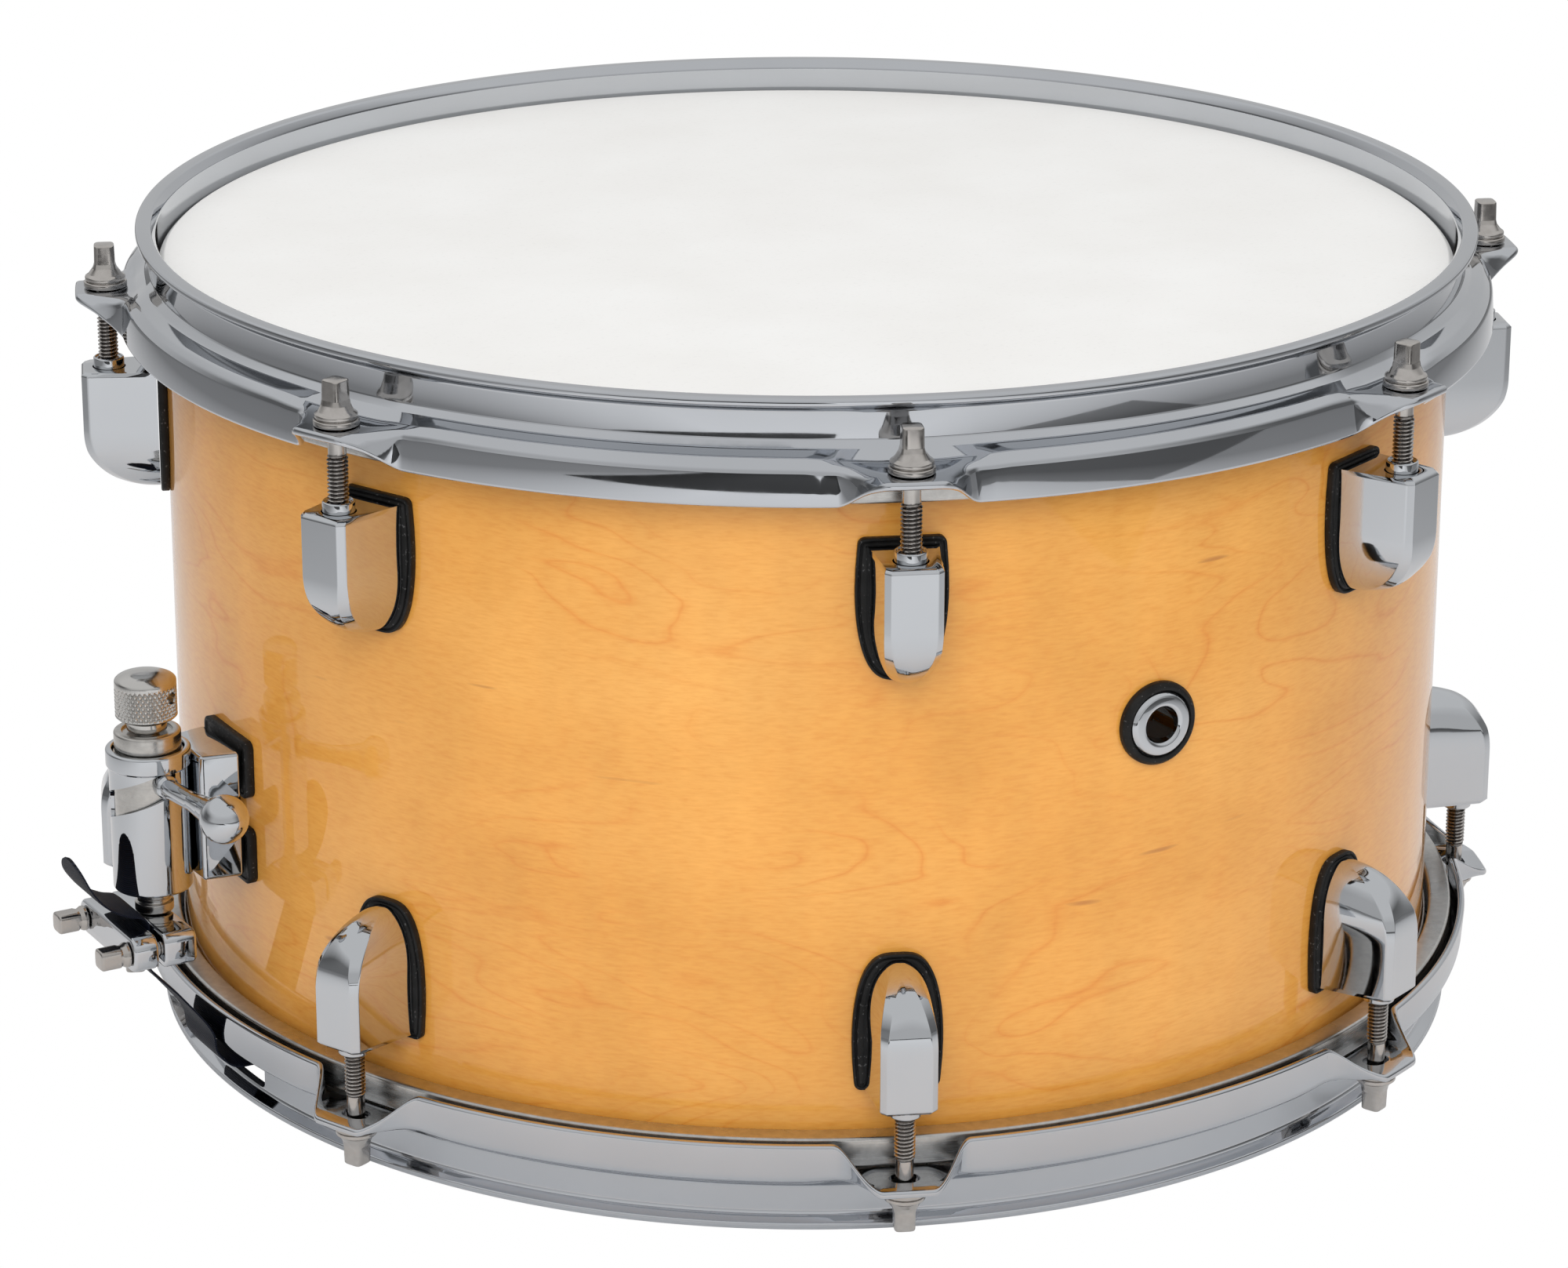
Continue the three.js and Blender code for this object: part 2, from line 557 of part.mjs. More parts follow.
function addStraps(parent) {
  const x = STRAINER_R + CLAMP_SLIT;
  const tail = [
    [x, MID_CLAMP + GAP], [x, CLAMP.top + 0.5], [x + 1.5, CLAMP.top + 2.3], [x + 5.5, CLAMP.top + 3.6],
    [x + 11, CLAMP.top + 7], [x + 15.4, CLAMP.top + 12.6], [x + 17.5, CLAMP.top + 19],
  ];
  place(parent, 'snare_strap_tail', strap(tail), WEBBING);
  place(parent, 'snare_strap_run', strap(strapToGate(x, MID_CLAMP)), WEBBING);
}

function addButtPlate(parent) {
  const b = BUTT;
  const slit = STRAP.thickness + 2 * GAP;
  place(parent, 'butt_plate', clampBar(b.back, b.slit - slit / 2, b.halfWidth, b.bottom, b.top), CHROME);
  const faceX = b.slit + slit / 2 + b.plate;
  const plate = clampBar(b.slit + slit / 2, faceX, b.halfWidth, CLAMP.bottom, CLAMP.top);
  place(parent, 'butt_clamp_plate', plate, CHROME);
  addClampScrews(parent, 'butt_clamp', faceX, faceX - b.back - 2, MID_CLAMP);
  const route = [[b.slit, b.top + 6], [b.slit, b.top], ...strapToGate(b.slit, MID_CLAMP).slice(1)];
  place(parent, 'butt_strap', strap(route), WEBBING);
}

// ---- snare wires: a row of strands joined at each end to a plate ----

function wiresGeometry() {
  const parts = [];
  for (let i = 0; i < STRAND.count; i++) {
    const y = (i - (STRAND.count - 1) / 2) * STRAND.pitch;
    const reach = STRAND.halfLength + 4;
    parts.push(rod(STRAND.radius, -reach, reach, 5).rotateY(Math.PI / 2).translate(0, y, WIRES_Z));
  }
  for (const side of [-1, 1]) {
    const near = side * STRAND.halfLength;
    const far = side * (STRAND.halfLength + END_PLATE.length);
    const half = END_PLATE.thickness / 2;
    const ends = [Math.min(near, far), Math.max(near, far)];
    parts.push(box(...ends, -END_PLATE.halfWidth, END_PLATE.halfWidth, WIRES_Z - half, WIRES_Z + half));
  }
  return join(...parts);
}

// ---- assembly ----

const drum = new THREE.Group();
drum.position.z = -FILM_TOP;
place(drum, 'shell', shellGeometry(), MAPLE);
addSide(group(drum), 'batter', { filmMaterial: COATED_FILM, withGates: false });
addSide(group(drum, [Math.PI, 0, 0]), 'snare_side', { filmMaterial: CLEAR_FILM, withGates: true });
addVent(drum);
const strainer = group(drum, [0, 0, Math.PI], [-STRAINER_R, 0, 0]);
addHousing(strainer);
addThrowOff(strainer);
addTensionKnob(strainer);
addStrainerClamp(strainer);
addStraps(group(drum, [0, 0, Math.PI]));
addButtPlate(drum);
place(drum, 'snare_wires', wiresGeometry(), NICKEL);

export default drum;
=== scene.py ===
"""The looks of a snare drum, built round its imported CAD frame.

Shapes are drawn in millimetres about the middle of the shell's height: +Z up, the strainer at -X and the
air vent at -Y. Each piece's object sits at that middle, and its mesh is in metres about it.
"""
import math

import bpy
import numpy as np
from mathutils import Matrix, Vector


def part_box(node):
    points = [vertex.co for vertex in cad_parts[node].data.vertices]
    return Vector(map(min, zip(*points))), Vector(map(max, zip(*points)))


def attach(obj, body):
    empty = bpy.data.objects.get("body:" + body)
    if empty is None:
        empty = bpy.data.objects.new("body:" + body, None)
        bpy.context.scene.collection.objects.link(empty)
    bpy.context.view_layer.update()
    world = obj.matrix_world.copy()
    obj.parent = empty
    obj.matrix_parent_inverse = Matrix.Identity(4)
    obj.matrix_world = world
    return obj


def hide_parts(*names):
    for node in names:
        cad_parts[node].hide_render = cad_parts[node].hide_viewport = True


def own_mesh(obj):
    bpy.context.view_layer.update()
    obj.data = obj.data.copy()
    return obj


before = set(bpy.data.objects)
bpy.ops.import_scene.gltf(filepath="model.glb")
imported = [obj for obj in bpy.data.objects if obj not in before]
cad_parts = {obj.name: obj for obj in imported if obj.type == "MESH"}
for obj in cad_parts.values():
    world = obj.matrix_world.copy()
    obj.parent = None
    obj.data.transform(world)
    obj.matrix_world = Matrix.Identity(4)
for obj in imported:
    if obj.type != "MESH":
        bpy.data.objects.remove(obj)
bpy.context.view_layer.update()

MM = 0.001
TAU = 2 * math.pi
DEG = math.pi / 180


def box_mm(node):
    """A CAD node's lowest and highest corners in millimetres."""
    low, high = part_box(node)
    return np.array(low) / MM, np.array(high) / MM


# ---- sizes in millimetres, from the frame where it has them ----

SHELL_LOW, SHELL_HIGH = box_mm("shell")
SHELL_R = SHELL_HIGH[0]
SHELL_HALF = (SHELL_HIGH[2] - SHELL_LOW[2]) / 2
MID_Z = (SHELL_HIGH[2] + SHELL_LOW[2]) / 2
SHELL_WALL = 7
BEARING_R = SHELL_R - 2
SNARE_BED = {"depth": 2, "half_angle": 16 * DEG}

FILM = 0.4
FILM_TOP = -MID_Z
FLESH = {"inner": 179.2, "outer": 185.4, "bottom": 84.8, "top": 93.6}

SHEET = 2.1
LIP_R = 184.2
LIP_TOP = box_mm("batter_hoop")[1][2] - MID_Z
WALL_R = 180.8
WALL_FOOT = 100
SHOULDER_R, SHOULDER_Z = 188.8, 95
SKIRT, EAR = 9.9, 12.2
EAR_PITCH = 45 * DEG
EAR_FLAT, EAR_BLEND, RIDGE_BLEND = 1.85 * DEG, 3.6 * DEG, 6.5 * DEG
GATE = {"half_width": 19.2, "low": 101, "high": 107.2}

STATIONS = 8
ROD_CIRCLE_R = 192.7
LUG = {"back": 180.0, "front": 200.3, "top": 72.5, "bend": 56, "bottom": 38.2, "wide": 9, "narrow": 7.35,
       "bevel": 1.45, "top_bevel": 1.0, "bow": 2.3}

VENT_Z = sum(box_mm("vent_grommet")[i][2] for i in (0, 1)) / 2 - MID_Z
HOUSING_LOW, HOUSING_HIGH = box_mm("strainer_housing")
STRAINER_R = -(HOUSING_LOW[0] + HOUSING_HIGH[0]) / 2
HOUSING = {"radius": 10.65, "rim": 11.35, "bore": 9.65, "neck": 5.55,
           "top": -10, "rim_foot": -15.2, "floor": -44, "foot": -49.8}
SLOT = {"start": 18 * DEG, "end": -124 * DEG, "height": 7.5, "corner": 1.6,
        "middle": -18.2, "drop": 7, "throw": 100 * DEG}
BRACKET = {"half": 12, "top": -12, "bottom": -47.5, "taper": 0.17,
           "notch_top": -25.2, "notch_bottom": -34.8, "notch": 7.5}
KNOB_TOP = box_mm("tension_knob")[1][2] - MID_Z
CLAMP_TOP, CLAMP_BOTTOM = -57, -66.6
CLAMP_MIDDLE = (CLAMP_TOP + CLAMP_BOTTOM) / 2
CLAMP_HALF, CLAMP_SCREW_Y = 19, 14.6
CLAMP_SLIT, SLIT_HALF = 6.1, 0.7
BUTT_SLIT = 190.2
STRAP_HALF, STRAP_THICK = 10, 0.8
STRAND = {"count": 20, "pitch": 1.95, "radius": 0.85, "half_length": 157}
WIRES_Z = -(FILM_TOP + 0.3 + STRAND["radius"] + 0.2)


# ---- shapes: a shape is (points, faces), with the points in millimetres ----


def grid(loops, ring=False, cap=True):
    """A shape through rows of points, each row a closed loop. A ring of rows closes on itself."""
    loops = np.asarray(loops, float)
    rows, columns = loops.shape[:2]
    index = np.arange(rows * columns).reshape(rows, columns)
    walked = np.vstack([index, index[:1]]) if ring else index
    low, high = walked[:-1], walked[1:]
    faces = np.stack([low, np.roll(low, -1, 1), np.roll(high, -1, 1), high], -1).reshape(-1, 4).tolist()
    if cap and not ring:
        faces += [index[0][::-1].tolist(), index[-1].tolist()]
    return loops.reshape(-1, 3), faces


def joined(*shapes):
    """Several shapes as one."""
    points, faces, count = [], [], 0
    for some_points, some_faces in shapes:
        points.append(some_points)
        faces += [[i + count for i in face] for face in some_faces]
        count += len(some_points)
    return np.vstack(points), faces


def moved(shape, x=0.0, y=0.0, z=0.0):
    return shape[0] + np.array([x, y, z]), shape[1]


def turned_about(shape, axis, angle):
    matrix = np.array(Matrix.Rotation(angle, 3, axis))
    return shape[0] @ matrix.T, shape[1]


def aimed(shape, start, end):
    """Takes a shape drawn up Z to a line that starts at start and runs towards end."""
    matrix = np.array((Vector(end) - Vector(start)).to_track_quat("Z", "Y").to_matrix())
    return shape[0] @ matrix.T + np.array(start, float), shape[1]


LEAST_RADIUS = 0.01
STRAIGHT = 178 * DEG


def rounded(points, radii, steps=4, closed=True):
    """The points with each corner replaced by an arc. Every corner gives the same number of points."""
    points = np.asarray(points, float)
    count = len(points)
    radii = np.broadcast_to(np.maximum(radii, LEAST_RADIUS), count)
    made = []
    for i, corner in enumerate(points):
        if not closed and i in (0, count - 1):
            made.append(corner)
            continue
        before, after = points[i - 1] - corner, points[(i + 1) % count] - corner
        reach = 0.49 * min(np.linalg.norm(before), np.linalg.norm(after))
        before, after = before / np.linalg.norm(before), after / np.linalg.norm(after)
        half = 0.5 * math.acos(float(np.clip(before @ after, -1, 1)))
        shares = np.linspace(0, 1, steps + 1)[:, None]
        if half > STRAIGHT / 2:
            made.extend(corner + (after - before) * (shares - 0.5) * min(2 * LEAST_RADIUS, reach))
            continue
        tangent = min(radii[i] / math.tan(half), reach)
        radius = tangent * math.tan(half)
        bisector = (before + after) / np.linalg.norm(before + after)
        centre = corner + bisector * radius / math.sin(half)
        chord = corner + tangent * (before + (after - before) * shares) - centre
        made.extend(centre + chord / np.linalg.norm(chord, axis=1)[:, None] * radius)
    return np.array(made)


def revolved(profile, columns=96, ring=False):
    """A solid turned about Z from rows of [radius, height]."""
    profile = np.asarray(profile, float)
    angles = np.arange(columns) * TAU / columns
    radius = profile[:, :1]
    loops = [radius * np.cos(angles), radius * np.sin(angles), profile[:, 1:2] + 0 * angles]
    return grid(np.stack(loops, -1), ring=ring)


def bar(radii, heights):
    """A solid bar from a table of radii, a row for each height and a column for each angle."""
    angles = np.arange(radii.shape[1]) * TAU / radii.shape[1]
    height = np.asarray(heights, float)[:, None]
    return grid(np.stack([radii * np.cos(angles), radii * np.sin(angles), height + 0 * angles], -1))


def squared(profile, start, over, columns, power=5):
    """A bar's radii from its profile. From a height its section turns to a square with rounded corners."""
    angles = np.arange(columns) * TAU / columns
    square = (np.abs(np.cos(angles)) ** power + np.abs(np.sin(angles)) ** power) ** (-1 / power)
    share = np.clip((profile[:, 1:] - start) / over, 0, 1)
    return profile[:, :1] * (1 + (square - 1) * share)


def inset(outline, amount):
    """A closed outline moved inwards."""
    along = np.roll(outline, -1, 0) - np.roll(outline, 1, 0)
    normal = np.stack([along[:, 1], -along[:, 0]], -1) / np.linalg.norm(along, axis=1)[:, None]
    area = np.sum(outline[:, 0] * np.roll(outline[:, 1], -1) - np.roll(outline[:, 0], -1) * outline[:, 1])
    return outline - normal * amount * np.sign(area)


def slab(outline, low, high, edge=0.6, steps=3, order="uvw"):
    """A plate with rounded rims. order says which of the outline's u and v and the plate's w is X, Y, Z."""
    rows = []
    for t in np.linspace(0, math.pi / 2, steps + 1):
        rows.append((edge * (1 - math.sin(t)), low + edge * (1 - math.cos(t))))
    rows += [(amount, high + low - w) for amount, w in reversed(rows)]
    loops = []
    for amount, w in rows:
        flat = inset(outline, amount)
        loops.append(np.column_stack([flat, np.full(len(flat), w)]))
    points, faces = grid(loops)
    return points[:, ["uvw".index(axis) for axis in order]], faces


def rectangle(u0, u1, v0, v1, radius=1.0, steps=4):
    return rounded([[u0, v0], [u1, v0], [u1, v1], [u0, v1]], radius, steps)


def smooth_path(points, steps=8):
    """A centripetal Catmull-Rom curve through the points."""
    points = np.asarray(points, float)
    points = np.vstack([2 * points[0] - points[1], points, 2 * points[-1] - points[-2]])
    made = []
    for a, b, c, d in zip(points, points[1:], points[2:], points[3:]):
        t1 = np.linalg.norm(b - a) ** 0.5
        t2 = t1 + np.linalg.norm(c - b) ** 0.5
        t3 = t2 + np.linalg.norm(d - c) ** 0.5
        for t in np.linspace(t1, t2, steps, endpoint=False):
            ab = a + (b - a) * t / t1
            bc = b + (c - b) * (t - t1) / (t2 - t1)
            cd = c + (d - c) * (t - t2) / (t3 - t2)
            abc, bcd = ab + (bc - ab) * t / t2, bc + (cd - bc) * (t - t1) / (t3 - t1)
            made.append(abc + (bcd - abc) * (t - t1) / (t2 - t1))
    return np.array([*made, points[-2]])


# ---- meshes and pieces ----


def mesh_of(shape):
    """A mesh datablock in metres, with its faces pointing out."""
    points, faces = shape
    mesh = bpy.data.meshes.new("part")
    mesh.from_pydata((points * MM).tolist(), [], faces)
    mesh.validate()
    mesh.calc_loop_triangles()
    corners = [mesh.vertices[i].co for t in mesh.loop_triangles for i in t.vertices]
    a, b, c = np.array(corners).reshape(-1, 3, 3).transpose(1, 0, 2)
    if np.einsum("ij,ij->", a, np.cross(b, c)) < 0:
        mesh.flip_normals()
    return mesh


def added(name, data):
    """A new object in the scene."""
    made = bpy.data.objects.new(name, data)
    bpy.context.scene.collection.objects.link(made)
    return made


def cut(shape, *tools):
    """The shape less its tools, as a mesh."""
    objects = [added("cutting", mesh_of(s)) for s in (shape, *tools)]
    for tool in objects[1:]:
        change = objects[0].modifiers.new("cut", "BOOLEAN")
        change.object = tool
        change.operation = "DIFFERENCE"
        change.solver = "EXACT"
    graph = bpy.context.evaluated_depsgraph_get()
    mesh = bpy.data.meshes.new_from_object(objects[0].evaluated_get(graph))
    for o in objects:
        bpy.data.objects.remove(o)
    return mesh


def shaded(made, material, sharp=35):
    """A mesh, or a shape as one, shaded smooth but at edges sharper than an angle in degrees."""
    mesh = made if isinstance(made, bpy.types.Mesh) else mesh_of(made)
    mesh.shade_smooth()
    mesh.set_sharp_from_angle(angle=math.radians(sharp))
    mesh.materials.clear()
    mesh.materials.append(material)
    return mesh


AT_MIDDLE = Matrix.Translation((0, 0, MID_Z * MM))


def piece(name, mesh, replaces=(), body="drum", place=None):
    """One visible piece on its body."""
    mesh.name = name
    made = added(name, mesh)
    made.matrix_world = AT_MIDDLE @ (place or Matrix.Identity(4))
    if replaces:
        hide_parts(*replaces)
    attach(made, body)
    return made


SIDES = {"batter": Matrix.Identity(4), "snare_side": Matrix.Rotation(math.pi, 4, "X")}


def stations():
    """Each side's name, its station's number and the station's turn about the drum."""
    for side, turn in SIDES.items():
        for i in range(STATIONS):
            yield side, i + 1, turn @ Matrix.Rotation((i + 0.5) * EAR_PITCH, 4, "Z")


# ---- materials ----


class Nodes:
    """Short ways to add shader nodes to a tree."""

    def __init__(self, tree):
        self.tree = tree

    def set(self, node, values):
        for key, value in values.items():
            socket = node.inputs[key.replace("_", " ")] if isinstance(key, str) else node.inputs[key]
            if isinstance(value, bpy.types.NodeSocket):
                self.tree.links.new(value, socket)
            else:
                socket.default_value = value

    def node(self, kind, out=0, settings=None, numbered=None, **values):
        made = self.tree.nodes.new("ShaderNode" + kind)
        for key, value in (settings or {}).items():
            setattr(made, key, value)
        self.set(made, dict(enumerate(numbered or [])))
        self.set(made, values)
        return made.outputs[out]

    def math(self, operation, *values):
        return self.node("Math", settings={"operation": operation}, numbered=values)

    def times(self, a, b):
        return self.math("MULTIPLY", a, b)

    def where(self, scale=(1, 1, 1), source="Object"):
        coordinates = self.tree.nodes.new("ShaderNodeTexCoord").outputs[source]
        return self.node("Mapping", Vector=coordinates, Scale=scale)

    def noise(self, vector, scale, detail=2.0, roughness=0.5, distortion=0.0):
        return self.node("TexNoise", Vector=vector, Scale=scale, Detail=detail, Roughness=roughness,
                         Distortion=distortion)

    def ramp(self, value, *stops):
        """Maps a value through stops of (position, grey or colour)."""
        made = self.tree.nodes.new("ShaderNodeValToRGB")
        elements = made.color_ramp.elements
        while len(elements) < len(stops):
            elements.new(0.5)
        for element, (position, tone) in zip(elements, stops):
            element.position = position
            element.color = (*tone, 1) if isinstance(tone, tuple) else (tone, tone, tone, 1)
        self.tree.links.new(value, made.inputs[0])
        return made.outputs[0]

    def spread(self, value, low, high):
        """Runs from low to high over a noise's usual range."""
        return self.ramp(value, (0.3, low), (0.7, high))

    def mix(self, share, a, b, blend="MIX"):
        """A colour between a and b, or one laid on the other."""
        made = self.tree.nodes.new("ShaderNodeMix")
        made.data_type = "RGBA"
        made.blend_type = blend
        for index, value in ((0, share), (6, a), (7, b)):
            value = (*value, 1) if isinstance(value, tuple) and len(value) == 3 else value
            self.set(made, {index: value})
        return made.outputs[2]

    def fade(self, share, a, b):
        """A number between a and b."""
        made = self.tree.nodes.new("ShaderNodeMix")
        self.set(made, {0: share, 2: a, 3: b})
        return made.outputs[0]

    def bump(self, height, strength, distance):
        return self.node("Bump", Height=height, Strength=strength, Distance=distance)

    def dot(self, vector, way):
        return self.node("VectorMath", out=1, settings={"operation": "DOT_PRODUCT"}, numbered=[vector, way])


class Material(Nodes):
    """A Principled material: its constants at the start, and what its nodes make at the finish."""

    def __init__(self, name, **constants):
        self.made = bpy.data.materials.new(name)
        self.made.use_nodes = True
        super().__init__(self.made.node_tree)
        self.shader = self.tree.nodes["Principled BSDF"]
        self.set(self.shader, constants)

    def finish(self, **values):
        self.set(self.shader, values)
        return self.made


def maple():
    """Amber maple veneer under clear gloss lacquer, its grain running round the shell."""
    m = Material("maple_lacquered", Metallic=0.0, Roughness=0.5, Specular_IOR_Level=0.25, Coat_Weight=1.0,
                 Coat_Roughness=0.02, Coat_IOR=1.5)
    drift = m.noise(m.where((1, 1, 2.2)), 11, 3)
    tone = m.ramp(drift, (0.3, (0.85, 0.375, 0.062)), (0.5, (0.92, 0.425, 0.080)),
                  (0.72, (0.96, 0.465, 0.100)))
    contours = m.noise(m.where((1, 1, 3.2)), 7.5, 2.5, 0.45, 0.35)
    lines = m.math("PINGPONG", m.times(contours, 15), 0.5)
    figure = m.ramp(lines, (0.0, (0.91, 0.70, 0.48)), (0.045, (0.97, 0.89, 0.80)), (0.14, (1.0, 1.0, 1.0)))
    patches = m.ramp(m.noise(m.where((1, 1, 1.6)), 16, 1), (0.42, 0.0), (0.62, 1.0))
    tone = m.mix(m.times(patches, 0.75), tone, m.mix(1.0, tone, figure, "MULTIPLY"))
    fibre = m.ramp(m.noise(m.where((0.16, 0.16, 1)), 1500, 2, 0.6), (0.25, (0.94, 0.85, 0.74)),
                   (0.55, (1.0, 1.0, 1.0)), (0.8, (1.04, 1.07, 1.10)))
    tone = m.mix(1.0, tone, fibre, "MULTIPLY")
    figured = m.ramp(m.noise(m.where((1, 1, 0.35)), 60, 2), (0.35, 0.965), (0.65, 1.03))
    tone = m.mix(1.0, tone, figured, "MULTIPLY")
    streak = m.ramp(m.noise(m.where((0.14, 0.14, 1)), 190, 1, 0.4), (0.765, 0.0), (0.80, 1.0))
    tone = m.mix(m.times(streak, 0.55), tone, (0.42, 0.13, 0.03))
    # Painted shade: the veneer's colour darkens towards the shell's bottom edge.
    height = m.node("SeparateXYZ", out=2, Vector=m.where())
    up = m.node("MapRange", Value=height, From_Min=-SHELL_HALF * MM, From_Max=SHELL_HALF * MM)
    painted_shade = m.ramp(up, (0.0, 0.93), (0.22, 0.98), (0.5, 1.0))
    tone = m.mix(1.0, tone, painted_shade, "MULTIPLY")
    return m.finish(Base_Color=tone, Normal=m.bump(fibre, 0.06, 0.0002))


def plated(name, colour, roughness, ripple=0.0, polish=220):
    """Bright plating, with a faint haze and, on pressed sheet, a slow ripple."""
    m = Material(name, Metallic=1.0)
    at = m.where()
    haze = m.spread(m.noise(at, polish, 3), roughness * 0.75, roughness * 1.35)
    tint = m.spread(m.noise(at, 35, 2), tuple(c * 0.965 for c in colour), colour)
    values = {"Base_Color": tint, "Roughness": haze}
    if ripple:
        values["Normal"] = m.bump(m.noise(at, 26, 1, 0.4), ripple, 0.001)
    return m.finish(**values)


# A tension rod's thread, used by its shape and by its material's painted groove shade.
THREAD = {"crest": 2.74, "root": 2.18, "pitch": 1.05, "low": 68.5, "high": 87.6}


def threaded_nickel():
    """Dull nickel, with painted shade in the grooves of a rod's thread."""
    m = Material("nickel_threaded", Metallic=1.0)
    at = m.where()
    # Painted shade: between the thread's crest and root, and below its top, the nickel is mixed towards
    # near-black.
    level = m.node("VectorMath", settings={"operation": "MULTIPLY"}, numbered=[at, (1, 1, 0)])
    across = m.node("VectorMath", out=1, settings={"operation": "LENGTH"}, numbered=[level])
    groove = m.node("MapRange", Value=across, From_Min=(THREAD["crest"] - 0.12) * MM,
                    From_Max=(THREAD["root"] + 0.08) * MM)
    height = m.node("SeparateXYZ", out=2, Vector=at)
    groove = m.times(groove, m.math("LESS_THAN", height, THREAD["high"] * MM))
    polish = m.noise(at, 500, 3)
    bright = m.spread(polish, (0.50, 0.475, 0.45), (0.57, 0.545, 0.52))
    tint = m.mix(groove, bright, (0.10, 0.09, 0.085))
    return m.finish(Base_Color=tint, Roughness=m.spread(polish, 0.13, 0.22))


def turned_metal(name, colour, roughness, lines=2600):
    """Metal off a lathe: fine rings round Z, laid by height, and a slight mottle."""
    m = Material(name, Metallic=1.0, Anisotropic=0.35)
    rings = m.noise(m.where((0.02, 0.02, 1)), lines, 2, 0.6)
    mottle = m.noise(m.where(), 420, 3, 0.6)
    tint = m.spread(mottle, tuple(c * 0.86 for c in colour), tuple(c * 1.06 for c in colour))
    haze = m.spread(rings, roughness * 0.75, roughness * 1.3)
    return m.finish(Base_Color=tint, Roughness=haze, Normal=m.bump(rings, 0.10, 0.00004))


def coated_film():
    """A sprayed white coating with a fine tooth and the faintest cloudiness."""
    m = Material("coated_film", Metallic=0.0, Sheen_Weight=0.08, Sheen_Roughness=0.5)
    at = m.where()
    cloud = m.spread(m.noise(at, 22, 3), (0.795, 0.785, 0.765), (0.83, 0.825, 0.81))
    tooth = m.noise(at, 2600, 2, 0.65)
    speck = m.ramp(m.noise(at, 800, 1), (0.25, 0.965), (0.4, 1.0))
    tone = m.mix(1.0, cloud, speck, "MULTIPLY")
    rough = m.spread(tooth, 0.58, 0.72)
    return m.finish(Base_Color=tone, Roughness=rough, Normal=m.bump(tooth, 0.12, 0.0001))


def clear_film():
    """Thin hazy film with faint rolling marks."""
    m = Material("clear_film", Metallic=0.0, IOR=1.46, Transmission_Weight=0.62)
    at = m.where()
    marks = m.noise(m.where((1, 0.04, 1)), 300, 2)
    tone = m.spread(m.noise(at, 30, 2), (0.80, 0.80, 0.77), (0.88, 0.88, 0.86))
    rough = m.spread(marks, 0.24, 0.34)
    return m.finish(Base_Color=tone, Roughness=rough, Normal=m.bump(marks, 0.04, 0.0001))


def rubber():
    """Moulded black rubber with a fine grain and pale dust specks."""
    m = Material("rubber", Metallic=0.0, Specular_IOR_Level=0.22)
    at = m.where()
    grain = m.noise(at, 1800, 2, 0.6)
    dust = m.ramp(m.noise(at, 1500, 0), (0.74, 0.0), (0.79, 1.0))
    tone = m.mix(m.times(dust, 0.25), m.spread(m.noise(at, 160, 3), 0.006, 0.016),
                 (0.3, 0.3, 0.3))
    rough = m.spread(grain, 0.40, 0.58)
    return m.finish(Base_Color=tone, Roughness=rough, Normal=m.bump(grain, 0.25, 0.0001))


def webbing():
    """Dark navy ribbon with fine ribs across it. The weave follows the ribbon's own map, in metres."""
    m = Material("webbing", Metallic=0.0, Specular_IOR_Level=0.16)
    ribbon = m.where((1, 1, 1), "UV")
    ribs = m.node("TexWave", out=1, Vector=ribbon, Scale=530, Distortion=0.6, Detail=1,
                  settings={"bands_direction": "X"})
    warp = m.node("TexWave", out=1, Vector=ribbon, Scale=700, Distortion=0.3,
                  settings={"bands_direction": "Y"})
    weave = m.math("ADD", m.times(ribs, 0.75), m.times(warp, 0.25))
    tone = m.ramp(weave, (0.15, (0.0012, 0.0018, 0.004)), (0.85, (0.008, 0.012, 0.026)))
    tone = m.mix(m.times(m.noise(m.where(), 220, 2), 0.3), tone, (0.008, 0.010, 0.02))
    return m.finish(Base_Color=tone, Roughness=m.ramp(weave, (0.0, 0.62), (1.0, 0.46)),
                    Normal=m.bump(weave, 0.55, 0.0002))


MAPLE = maple()
CHROME = plated("chrome", (0.60, 0.62, 0.645), 0.035)
HOOP_CHROME = plated("chrome_pressed", (0.58, 0.60, 0.63), 0.045, ripple=0.05)
THREADED = threaded_nickel()
NICKEL = plated("nickel", (0.50, 0.475, 0.45), 0.17, polish=500)
STEEL = turned_metal("turned_steel", (0.56, 0.545, 0.52), 0.22)
KNOB_STEEL = plated("polished_steel", (0.62, 0.61, 0.59), 0.12, polish=400)
ALUMINIUM = turned_metal("aluminium", (0.58, 0.57, 0.55), 0.28, 1500)
COATED = coated_film()
CLEAR = clear_film()
RUBBER = rubber()
WEBBING = webbing()


# ---- shell, heads and flesh hoops ----


def snare_bed(angle):
    """How far the lower edge is cut away where the straps cross it."""
    off_axis = np.abs(np.arctan2(np.sin(angle), np.abs(np.cos(angle))))
    share = np.clip(off_axis / SNARE_BED["half_angle"], 0, 1)
    return SNARE_BED["depth"] * np.cos(share * math.pi / 2) ** 2


def shell():
    inner = SHELL_R - SHELL_WALL
    bevel = BEARING_R - inner
    half = [[inner, 0], [inner, SHELL_HALF - bevel], [BEARING_R, SHELL_HALF], [SHELL_R, SHELL_HALF - 1.4]]
    top = rounded([*half, [SHELL_R, 0]], [0, 0.8, 0.5, 1.6, 0], closed=False)
    profile = np.vstack([top, (top * [1, -1])[-2:0:-1]])
    points, faces = revolved(profile, 256, ring=True)
    low = points[:, 2] < -SHELL_HALF + 2 * bevel
    points[low, 2] += snare_bed(np.arctan2(points[low, 1], points[low, 0]))
    hole = turned_about(revolved([[5.6, SHELL_R - 20], [5.6, SHELL_R + 10]], 48), "X", math.pi / 2)
    hole = moved(hole, z=VENT_Z)
    piece("shell_body", shaded(cut((points, faces), hole), MAPLE, 40), ["shell"])


